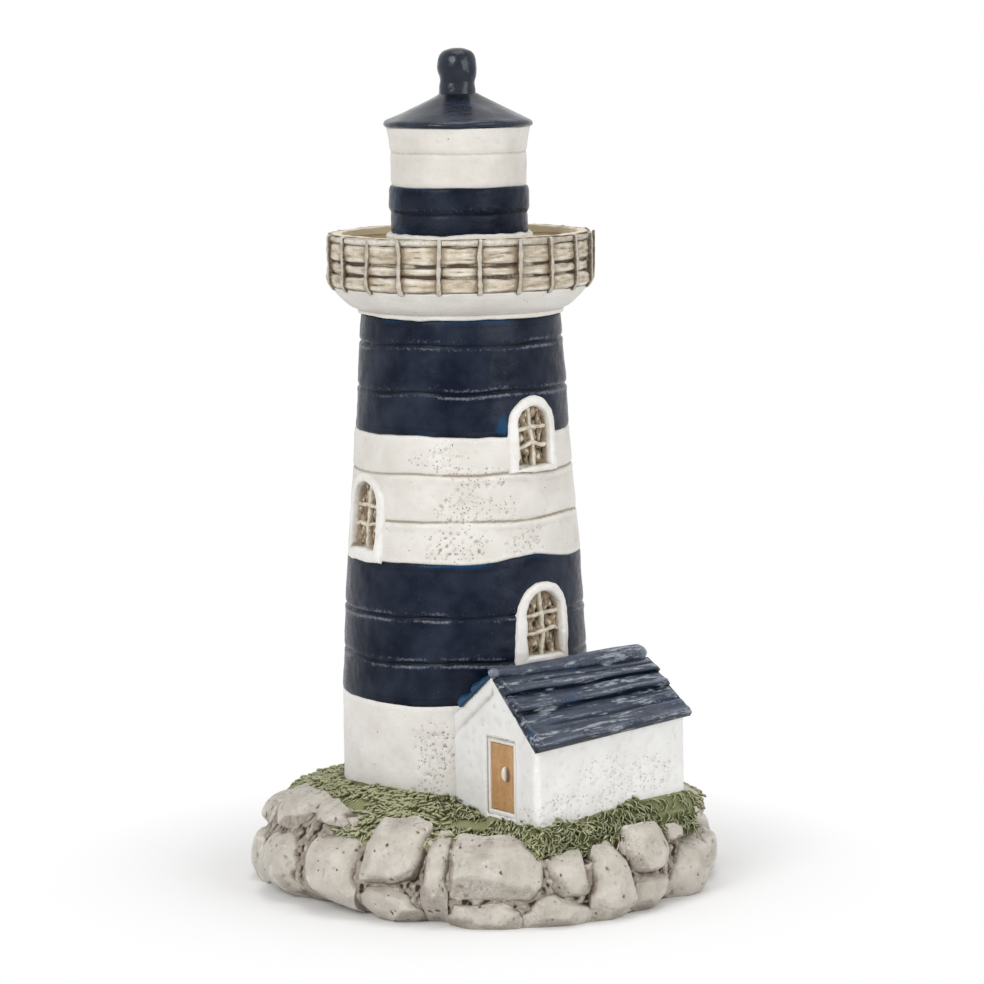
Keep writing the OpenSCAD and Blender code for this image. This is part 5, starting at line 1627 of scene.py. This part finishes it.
def bladeMesh():
    # one moulded ridge of grass, bowed sideways and up, with a pale crest
    rows = grass["rows"]
    s = np.linspace(0, 1, rows)
    x = grass["long"] * (s - 0.1)
    y = grass["bow"] * np.sin(s * math.pi * 1.2)
    z = grass["rise"] * np.sin(s * math.pi * 0.85)
    half = grass["wide"] / 2 * (0.5 + 0.6 * np.sin(s * math.pi))
    # across: out from the middle as a share of the half width, height, how pale
    section = ((-1, -0.45, 0.0), (1, -0.45, 0.0), (0, 0.2, 1.0))
    cells = [(k, *corner) for k in range(rows) for corner in section]
    points = np.array([[x[k], y[k] + out * half[k], z[k] + up] for k, out, up, pale in cells])
    points = np.vstack([points, [[x[-1] + 0.2, y[-1], z[-1] - 0.3], [x[0] - 0.2, y[0], z[0] - 0.4]]])
    cols = len(section)
    tip = rows * cols
    around = [(k, (k + 1) % cols) for k in range(cols)]
    tris = np.array([[tip, tip - cols + k, tip - cols + j] for k, j in around]
                    + [[tip + 1, j, k] for k, j in around])
    pale = np.array([pale * (0.6 + 0.4 * s[k]) for k, out, up, pale in cells] + [0.5, 0])
    return meshOf("blade", outward((points, wrapFaces(rows, cols), tris)), tone=pale * grass["crestTone"])


def grassTree():
    # leaves scattered by the ground's lawn attribute, each laid along its downhill attribute
    tree = bpy.data.node_groups.new("grassCover", "GeometryNodeTree")
    sockets = addSockets(tree, [
        ("Ground", "g"), ("Blade", "o"), ("Density", "f"), ("Smallest", "f"), ("Largest", "f"),
        ("Spread", "f"), ("Seed", "i"), ("Material", "m")], [("Geometry", "g")])
    given = addNode(tree, "NodeGroupInput").outputs
    lawn, downhill = (
        addNode(tree, "GeometryNodeInputNamedAttribute", {"Name": layer}, data_type=kind).outputs[0]
        for layer, kind in (("lawn", "FLOAT"), ("downhill", "FLOAT_VECTOR")))
    scatter = addNode(tree, "GeometryNodeDistributePointsOnFaces", {
        "Mesh": given["Ground"], "Density": maths(tree, "MULTIPLY", lawn, given["Density"]),
        "Seed": given["Seed"]}).outputs
    upright = addNode(tree, "FunctionNodeAlignRotationToVector", {"Vector": scatter["Normal"]},
                      axis="Z").outputs[0]
    facing = addNode(tree, "FunctionNodeAlignRotationToVector", {"Rotation": upright, "Vector": downhill},
                     axis="X", pivot_axis="Z").outputs[0]
    randomTurn = addNode(tree, "FunctionNodeRandomValue", {0: (-0.6, -0.6, -0.9), 1: (0.6, 0.3, 0.9),
                                                           "Seed": given["Seed"]}, data_type="FLOAT_VECTOR")
    spread = addNode(tree, "ShaderNodeVectorMath", {0: randomTurn.outputs[0], "Scale": given["Spread"]},
                     operation="SCALE").outputs[0]
    twist = addNode(tree, "FunctionNodeEulerToRotation", {0: spread}).outputs[0]
    turnedBy = addNode(tree, "FunctionNodeRotateRotation", {0: facing, 1: twist},
                       rotation_space="LOCAL").outputs[0]
    size = addNode(tree, "FunctionNodeRandomValue", {"Min": given["Smallest"], "Max": given["Largest"],
                                                     "Seed": given["Seed"]}, data_type="FLOAT").outputs[1]
    blade = addNode(tree, "GeometryNodeObjectInfo", {"Object": given["Blade"]}).outputs["Geometry"]
    leaves = addNode(tree, "GeometryNodeInstanceOnPoints", {
        "Points": scatter["Points"], "Instance": blade, "Rotation": turnedBy, "Scale": size}).outputs[0]
    finishNodes(tree, leaves, given["Material"])
    return tree, sockets


def lawnShare(points, normal):
    # grass grows where the turf is seen: outside the tower and the cottage, and on this side of the stones
    place = cottageView(points)
    x, y = place[:, 0], place[:, 1]
    inTower = np.hypot(points[:, 0], points[:, 1]) < wallRadius(points[:, 2]) + 0.4
    inCottage = (x > -0.1) & (y > -0.1) & (x < cottage["long"] + 0.1) & (y < 2 * cottage["half"] + 0.1)
    fromRing = np.hypot(points[:, 0] - ring["centre"][0], points[:, 1] - ring["centre"][1])
    seen = ~inTower & ~inCottage & ((normal[:, 2] > 0.2) | (y < 0) & (y > -5)) & (points[:, 2] > 15.5)
    seen &= (fromRing < 56) & ((fromRing < 49.5) | (y > -4) & (x > -4))
    return seen * (1 - bareShare(points)) * smooth(noiseAt(points, 6, 77), -1.2, -0.3)


def makeGrass(shape):
    points = shape[0]
    ground = meshOf("ground", shape)
    addAttribute(ground, "lawn", lawnShare(points, normalsOf(*shape)))
    # the leaves point down the bank, in swirls
    down = points - [*ring["centre"], 0]
    down[:, 2] = 0
    down = down / np.maximum(np.linalg.norm(down, axis=1, keepdims=True), 1e-6)
    swirl = 1.1 * noiseAt(points, 7, 78)
    x, y = down[:, 0], down[:, 1]
    down = placed(x * np.cos(swirl) - y * np.sin(swirl), x * np.sin(swirl) + y * np.cos(swirl), -0.35)
    layer = ground.attributes.new("downhill", "FLOAT_VECTOR", "POINT")
    layer.data.foreach_set("vector", down.astype(np.float32).ravel())
    blade = bpy.data.objects.new("blade", bladeMesh())
    bpy.context.scene.collection.objects.link(blade)
    mesh = grownMesh(ground, *grassTree(), {
        "Blade": blade, "Density": grass["density"] / mm ** 2, "Smallest": grass["smallest"],
        "Largest": grass["largest"], "Spread": grass["spread"], "Seed": grass["seed"],
        "Material": grassPaint})
    print("grass leaves:", len(mesh.vertices) // len(blade.data.vertices))
    bpy.data.objects.remove(blade)
    mesh.shade_smooth()
    keepPiece(mesh, "grass", grassPaint, True)


makeGrass(makeTurf())
print("turf grown")


# Floor, light and camera

stageLook = {
    "floorSize": 6.0, "floorColor": (0.90, 0.90, 0.90), "floorRough": 0.9, "floorSpecular": 0.1,
    "clearFrom": 0.060, "clearTo": 0.105, "worldLight": 0.60,
    # place, size and watts of each lamp, all aimed at one point
    "aim": (0, 0, 0.09),
    "keyLamp": ((-0.8, -1.1, 0.85), 0.7, 9.5), "fillLamp": ((1.0, -0.95, 0.5), 0.8, 6.0),
    "topLamp": ((0.1, 0.1, 1.5), 0.9, 5.0),
    # the photograph's view: place in metres, degrees down and of roll, millimetres of lens and sensor
    "viewFrom": (0.00699, -0.8865, 0.2105), "lookDown": 7.57, "roll": -0.70, "lens": 135.4, "sensor": 36,
}


def whiteForView(tree):
    # camera, glossy and transmission rays see plain white
    path = addNode(tree, "ShaderNodeLightPath").outputs
    seen = maths(tree, "MAXIMUM", path["Is Camera Ray"], path["Is Glossy Ray"])
    return maths(tree, "MAXIMUM", seen, path["Is Transmission Ray"])


def makeFloor():
    half = stageLook["floorSize"] / 2
    mesh = bpy.data.meshes.new("floor")
    corners = [(-half, -half, 0), (half, -half, 0), (half, half, 0), (-half, half, 0)]
    mesh.from_pydata(corners, [], [(0, 1, 2, 3)])
    floor = bpy.data.objects.new("floor", mesh)
    bpy.context.scene.collection.objects.link(floor)
    material = bpy.data.materials.new("paleFloor")
    material.use_nodes = True
    tree = material.node_tree
    shader = tree.nodes["Principled BSDF"]
    shader.inputs["Base Color"].default_value = rgb(*stageLook["floorColor"])
    shader.inputs["Roughness"].default_value = stageLook["floorRough"]
    shader.inputs["Specular IOR Level"].default_value = stageLook["floorSpecular"]
    place = addNode(tree, "ShaderNodeTexCoord").outputs["Object"]
    away = addNode(tree, "ShaderNodeVectorMath", {0: place}, operation="LENGTH").outputs["Value"]
    far = ranged(tree, away, stageLook["clearFrom"], stageLook["clearTo"])
    white = addNode(tree, "ShaderNodeEmission", {"Color": rgb(1, 1, 1), "Strength": 1.0}).outputs[0]
    share = maths(tree, "MULTIPLY", far, whiteForView(tree))
    both = addNode(tree, "ShaderNodeMixShader", {0: share, 1: shader.outputs[0], 2: white}).outputs[0]
    tree.links.new(both, tree.nodes["Material Output"].inputs["Surface"])
    mesh.materials.append(material)


def makeRoom():
    world = bpy.data.worlds.new("softRoom")
    bpy.context.scene.world = world
    world.use_nodes = True
    tree = world.node_tree
    background = tree.nodes["Background"]
    background.inputs["Color"].default_value = rgb(1, 1, 1)
    strength = ranged(tree, whiteForView(tree), 0, 1, stageLook["worldLight"], 1.0)
    tree.links.new(strength, background.inputs["Strength"])

    for name in ("keyLamp", "fillLamp", "topLamp"):
        at, size, watts = stageLook[name]
        data = bpy.data.lights.new(name, "AREA")
        data.shape, data.size, data.energy = "SQUARE", size, watts
        lamp = bpy.data.objects.new(name, data)
        aim = (Vector(stageLook["aim"]) - Vector(at)).to_track_quat("-Z", "Y")
        lamp.matrix_world = Matrix.Translation(at) @ aim.to_matrix().to_4x4()
        bpy.context.scene.collection.objects.link(lamp)


def makeCamera():
    cameraData = bpy.data.cameras.new("camera")
    cameraData.lens, cameraData.sensor_width = stageLook["lens"], stageLook["sensor"]
    cameraData.clip_start, cameraData.clip_end = 0.05, 20
    camera = bpy.data.objects.new("camera", cameraData)
    down, roll = math.radians(90 - stageLook["lookDown"]), math.radians(stageLook["roll"])
    camera.matrix_world = (Matrix.Translation(stageLook["viewFrom"]) @ Matrix.Rotation(down, 4, "X")
                           @ Matrix.Rotation(roll, 4, "Z"))
    bpy.context.scene.collection.objects.link(camera)
    bpy.context.scene.camera = camera
    bpy.context.scene.view_settings.view_transform = "Standard"


makeFloor()
makeRoom()
makeCamera()
print("stage set")
